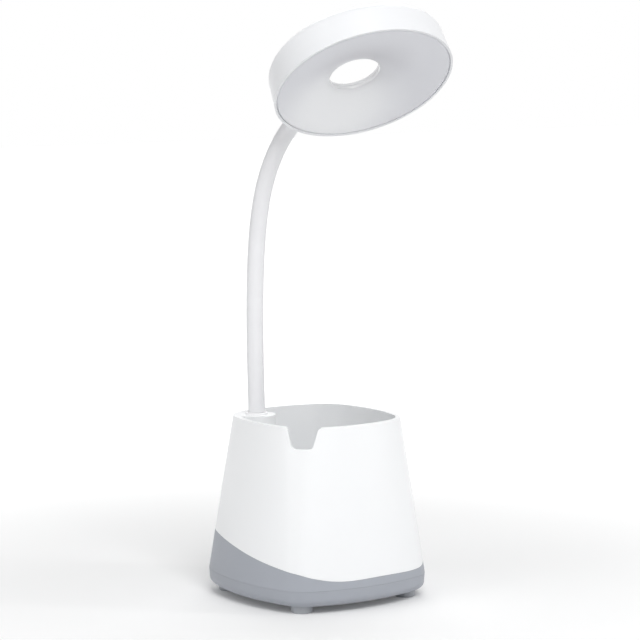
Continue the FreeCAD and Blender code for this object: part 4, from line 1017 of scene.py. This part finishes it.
@dataclass
class Head:
    """Ring-shaped head: white housing, milky trumpet and the glossy ring in its hole."""

    centre: tuple[float, float, float] = (-5.677, -54.498, 306.739)
    up: tuple[float, float, float] = (0.1037, 0.5897, 0.801)
    neck: tuple[float, float, float] = (-0.2288, 0.7979, -0.5577)
    radius: float = 53.0
    top_inset: float = 0.9
    height: float = 21.4
    top_round: float = 5.6
    wall: float = 1.8
    hole_offset: float = 4.1
    hole_radius: float = 16.4
    dish_floor: float = 13.2
    dish_radius: float = 43.0
    dish_lead: float = 1.2
    rim_lip: float = 1.3
    lip_round: float = 0.55
    sheet: float = 1.5
    throat_radius: float = 15.1
    throat_height: float = 9.6
    throat_flat: float = 3.58
    edge_drop: float = 0.8
    ledge_gap: float = 0.8
    flange_width: float = 2.0
    count: int = 192

    def frame(self) -> Matrix:
        """The head's own frame: X towards the neck, Z away from the light."""
        z = Vector(self.up).normalized()
        x = Vector(self.neck)
        x = (x - z * x.dot(z)).normalized()
        return Matrix.Translation(Vector(self.centre)) @ Matrix((x, z.cross(x), z)).transposed().to_4x4()

    def ring(self, radius: float, height: float, share: float = 0.0) -> list[Vector]:
        """A ring of the head, its centre moved a share of the way from the rim's to the hole's."""
        frame = self.frame()
        return [frame @ p for p in circle(self.count, radius, height, (self.hole_offset * share, 0.0))]

    def build_housing(self) -> Piece:
        """Pull the housing from its lip up the wall, over the round edge and into the dished top."""
        lip = self.radius - self.rim_lip
        turn_height = self.height - self.top_round
        edge = self.radius - self.top_inset - self.top_round
        steps = [(lip, 0.0), (self.radius, 0.0)]
        steps += [(self.radius - self.top_inset * s, turn_height * s) for s in (0.12, 0.4, 0.7)]
        steps += rounding(edge, turn_height, self.top_round, 0, 90, 12)
        steps += [(edge * (1 - s) + self.dish_radius * s, self.height, s) for s in (0.3, 0.6, 0.85)]
        fall = self.height - self.dish_floor
        mouth = self.dish_radius + self.dish_lead
        steps += [(mouth - (mouth - self.hole_radius) * s, self.height - fall * self._dish(s), 1.0)
                  for s in (i / 16 for i in range(17))]
        steps.append((self.hole_radius, self.dish_floor - self.wall, 1.0))
        steps += [(self.dish_radius - (self.dish_radius - self.hole_radius) * s,
                   self.height - self.wall - fall * s, 1.0) for s in (i / 8 for i in range(8, -1, -1))]
        # Inside, the corner under the round edge is cut off by 4 and 3, then comes the sheet's ledge
        inner = self.radius - self.wall
        ledge = self.sheet + self.ledge_gap
        steps += [(inner - 4.0, self.height - self.wall), (inner - 1.0, self.height - self.wall - 3.0),
                  (inner, ledge), (lip, ledge), (lip, 0.0)]
        skin = RingSkin("head_white", [self.ring(*step) for step in steps])
        weld()
        skin.bevel({0, 1, len(steps) - 1}, self.lip_round, 4)
        return skin.finish(38.0)

    @staticmethod
    def _dish(share: float) -> float:
        """Depth of the dished top as a share of its fall, eased in at its edge."""
        ease = 0.12
        if share < ease:
            return share * share / (2 * ease) / (1 - ease / 2)
        return (share - ease / 2) / (1 - ease / 2)

    def _trumpet(self, radius: float, behind: float) -> float:
        """Height of the trumpet's one arc, or of its back face, at a distance from the hole's axis."""
        run = self.radius + self.hole_offset - self.throat_radius
        bow = (run ** 2 + self.throat_height ** 2) / (2 * self.throat_height)
        rest = run + self.throat_radius - max(radius, self.throat_radius)
        return min(self.throat_height, bow - math.sqrt((bow - behind) ** 2 - rest ** 2))

    def _sheet_ring(self, share: float, behind: float = 0.0) -> list[Vector]:
        """A ring of the sheet, a share of the way from the throat to the rim."""
        frame = self.frame()
        rim = self.radius - self.rim_lip - 0.1
        radius = self.throat_radius + (rim - self.throat_radius) * share
        out = []
        for p in circle(self.count, radius, 0.0, (self.hole_offset * (1 - share), 0.0)):
            away = math.hypot(p.x - self.hole_offset, p.y)
            out.append(frame @ Vector((p.x, p.y, self._trumpet(away, behind))))
        return out

    def build_diffuser(self) -> Piece:
        """Pull the trumpet from the rim to the throat, round its flat end and back behind it."""
        edge = self.frame().to_3x3() @ Vector((0.0, 0.0, self.edge_drop))
        first = [p + edge for p in self._sheet_ring(1.0)]
        # The second ring stands a hair outside its place, where the face turns into the groove
        rings = [first, self._sheet_ring(39 / 40 + 0.001)]
        rings += [self._sheet_ring(i / 40) for i in range(38, -1, -1)]
        rings.append(self.ring(self.throat_radius + self.throat_flat, self.throat_height, 1.0))
        rings += [self._sheet_ring(share, self.sheet) for share in (0.25, 0.4, 0.55, 0.7, 0.85, 1.0)]
        rings.append(first)
        return RingSkin("diffuser_milky", rings).finish(40.0)

    def build_liner(self) -> Piece:
        """Pull the glossy ring: a lower bead, the bore and a flange that lies on the dished top."""
        inner = self.throat_radius
        low = self.throat_height
        seat = self.dish_floor + 0.1
        slope = (self.height - self.dish_floor) / (self.dish_radius - self.hole_radius)
        flange = self.hole_radius + self.flange_width
        rise = seat + self.flange_width * slope
        # Lower bead, bore with a fine groove, then the bead and the edge of the flange
        profile = [(inner + 1.2, low + 0.1), (inner + 0.7, low - 0.15), (inner + 0.25, low - 0.05),
                   (inner, low + 0.35), (inner, low + 2.0), (inner + 0.3, low + 2.1),
                   (inner + 0.3, low + 2.5), (inner, low + 2.6), (inner, seat + 0.35),
                   (inner + 0.25, seat + 0.75), (inner + 0.7, seat + 0.95), (flange - 0.5, rise + 0.5),
                   (flange - 0.1, rise + 0.35), (flange, rise), (inner + 1.2, seat),
                   (inner + 1.2, low + 0.1)]
        return RingSkin("hole_ring_gloss", [self.ring(*step, 1.0) for step in profile]).finish(50.0)


# --- packed inner pieces


INNER_FINISHES: dict[Finish, tuple[str, ...]] = {
    Finish.PLAIN_STEEL: ("ballast_plate", "base_screws", "board_screws", "led_screws"),
    Finish.BRIGHT_STEEL: ("arm_ferrule", "arm_washer", "arm_nut", "head_ferrule", "head_nut", "neck_core",
                          *(f"arm_core_{i}" for i in range(1, 8))),
    Finish.BLACK: ("battery_cradle", "board_parts", "tact_switch", "switch_plunger"),
    Finish.PLUG: ("lead_plugs",),
    Finish.WRAP: ("battery_cell",),
    Finish.BOARD: ("main_board", "switch_board"),
    Finish.LIGHT_BOARD: ("led_board",),
    Finish.CHIP: ("led_chips",),
    Finish.LEAD: ("lamp_lead", "cell_leads", "head_leads"),
}


def dress_inner_pieces(nodes: dict[str, Piece]) -> None:
    """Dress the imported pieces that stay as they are.

    Args:
        nodes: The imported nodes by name.
    """
    for finish, names in INNER_FINISHES.items():
        for name in names:
            dress(nodes[name], finish)
            LOG.info("%s keeps its packed shape in %s", name, finish.name)


# --- studio


@dataclass
class Studio:
    """Pale floor, soft lamps and the camera at the photograph's angle.

    Places are millimetres in the camera's own directions: X right, Y away from it, Z up, about the
    middle of the base.

    Attributes:
        azimuth: Turn of the camera about the base.
        camera: Place of the camera.
        pitch: How far it looks down.
        lens: Its focal length.
        floor_side: Side of the floor.
        softboxes: Each lamp's name, place, height that it faces, width, height and power in watts.
    """

    azimuth: float = math.radians(-35.8)
    camera: tuple[float, float, float] = (2.09, -1600.0, 353.0)
    pitch: float = math.radians(6.69)
    lens: float = 152.1
    floor_side: float = 9000.0
    softboxes: tuple[tuple[str, tuple[float, float, float], float, float, float, float], ...] = (
        ("front_softbox", (300, -1300, 1350), 120, 900, 800, 16.6),
        ("right_strip", (1100, -200, 560), 150, 120, 800, 2.2),
        ("left_fill", (-1200, -700, 500), 150, 900, 900, 2.4),
        ("left_softbox", (-900, -900, 1300), 150, 900, 900, 2.2),
        ("top_front_softbox", (100, -750, 1600), 60, 1000, 900, 2.0),
        ("back_softbox", (0, 1000, 1300), 120, 1200, 800, 7.0))

    def place(self, x: float, y: float, z: float) -> Vector:
        """A point given in the camera's directions, in the lamp's frame, in metres."""
        return Matrix.Rotation(self.azimuth, 3, "Z") @ Vector((x, y, z)) * MM

    def add_camera(self) -> None:
        """Stand the camera where the photograph was taken from."""
        lens = bpy.data.cameras.new("photo_camera")
        lens.lens = self.lens
        lens.sensor_width = 36.0
        lens.clip_end = 50.0
        camera = bpy.data.objects.new("photo_camera", lens)
        bpy.context.scene.collection.objects.link(camera)
        camera.location = self.place(*self.camera)
        camera.rotation_euler = (math.pi / 2 - self.pitch, 0.0, self.azimuth)
        bpy.context.scene.camera = camera

    def add_softboxes(self) -> None:
        """Hang the soft rectangular lamps, each facing a height above the middle of the base."""
        for name, spot, faces, width, height, power in self.softboxes:
            light = bpy.data.lights.new(name, "AREA")
            light.shape = "RECTANGLE"
            light.size = width * MM
            light.size_y = height * MM
            light.energy = power
            lamp = bpy.data.objects.new(name, light)
            bpy.context.scene.collection.objects.link(lamp)
            lamp.location = self.place(*spot)
            way = self.place(0, 0, faces) - lamp.location
            lamp.rotation_euler = way.to_track_quat("-Z", "Y").to_euler()

    @staticmethod
    def seen_directly(nodes: Nodes) -> tuple[bpy.types.Node, bpy.types.Node]:
        """Light-path node, and a node that is 1 for camera rays and in reflections."""
        path = nodes.add("ShaderNodeLightPath")
        return path, nodes.add("ShaderNodeMath", {"operation": "MAXIMUM", 0: path.outputs["Is Camera Ray"],
                                                  1: path.outputs["Is Glossy Ray"]})

    def add_floor(self) -> None:
        """Lay a pale floor that reads as white and keeps the lamp's soft shadow."""
        select_nothing()
        bpy.ops.mesh.primitive_plane_add(size=self.floor_side * MM, location=(0, 0, 0))
        floor = bpy.context.object
        floor.name = "floor"
        nodes = Surface("Pale_floor")
        _, seen = self.seen_directly(nodes)
        # White further out, where the lamps no longer reach, and only a little lift round the base
        far = nodes.add("ShaderNodeVectorMath", {"operation": "LENGTH", 0: nodes.place})
        lift = nodes.add("ShaderNodeMapRange", {
            "interpolation_type": "SMOOTHSTEP", "Value": far.outputs["Value"],
            "From Min": 0.1, "From Max": 1.0, "To Min": 0.07, "To Max": 1.0})
        shown = nodes.add("ShaderNodeMath", {"operation": "MULTIPLY", 0: seen, 1: lift})
        nodes.set(nodes.shader, {"Base Color": linear("#F6F6F6"), "Roughness": 0.9,
                                 "Specular IOR Level": 0.1, "Emission Color": WHITE,
                                 "Emission Strength": shown})
        floor.data.materials.append(nodes.material)

    def set_world(self) -> None:
        """Fill the room with even light, white to the camera and in reflections."""
        world = bpy.data.worlds.new("studio_room")
        bpy.context.scene.world = world
        nodes = Nodes(world)
        path, seen = self.seen_directly(nodes)
        clear = nodes.add("ShaderNodeMath", {"operation": "MAXIMUM", 0: seen,
                                             1: path.outputs["Is Transmission Ray"]})
        room = nodes.add("ShaderNodeBackground", {"Color": linear("#F2F3F4"), "Strength": 0.25})
        white = nodes.add("ShaderNodeBackground", {"Color": WHITE, "Strength": 1.0})
        mix = nodes.add("ShaderNodeMixShader", {0: clear, 1: room, 2: white})
        nodes.add("ShaderNodeOutputWorld", {"Surface": mix})

    def build(self) -> None:
        """Set the whole studio up."""
        bpy.context.scene.view_settings.view_transform = "Standard"
        self.set_world()
        self.add_floor()
        self.add_camera()
        self.add_softboxes()


# --- main


def build_base() -> None:
    """Build and hand over everything on the base and its button."""
    cup = PenCup().build()
    openings = BackOpenings()
    openings.carve(cup)
    hand_over(cup, "base", "white_shell", Finish.CUP, "cup_shell")
    foot = GreyFoot()
    skin = foot.build_skin()
    openings.carve(skin)
    hand_over(skin, "base", "grey_shell", Finish.SKIN, "base_skin")
    hand_over(foot.build_tray(), "base", "grey_shell", Finish.SKIN, "bottom_tray")
    small = SmallBasePieces()
    spots = [(sx * small.foot_spot, sy * small.foot_spot) for sx in (1, -1) for sy in (1, -1)]
    for index, (x, y) in enumerate(spots, start=1):
        hand_over(small.build_foot(index, x, y), "base", "foot_rubber", Finish.FOOT, "rubber_feet")
    hand_over(small.build_collar(), "base", "white_trim", Finish.TRIM, "arm_collar")
    hand_over(small.build_button(), "button", "grey_button", Finish.BUTTON, "power_button")
    hand_over(merged_copy("charging_socket", "socket_metal"), "base", "bright_steel", Finish.BRIGHT_STEEL,
              "charging_socket")


def build_arm() -> None:
    """Build the sleeve's lengths, dress them and hide the imported nodes that they stand for."""
    nodes = ["arm_root", *(f"arm_sleeve_{i}" for i in range(1, 8)), "head_neck"]
    for index, (length, start, end) in enumerate(Arm().build()):
        dress(length, Finish.SLEEVE)
        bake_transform(length)
        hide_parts(nodes[index], nodes[index + 1])


def build_head() -> None:
    """Build and hand over the head's shown pieces."""
    head = Head()
    hand_over(head.build_housing(), "head", "white_shell", Finish.HOUSING, "head_housing")
    hand_over(head.build_diffuser(), "head", "milky_diffuser", Finish.DIFFUSER, "diffuser")
    hand_over(head.build_liner(), "head", "white_trim", Finish.TRIM, "hole_liner")


def main() -> None:
    """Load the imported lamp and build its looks."""
    logging.basicConfig(level=logging.INFO, format="%(name)s: %(message)s")
    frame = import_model()
    Studio().build()
    build_base()
    build_arm()
    build_head()
    dress_inner_pieces(frame["nodes"])
    select_nothing()


if __name__ == "__main__":
    main()
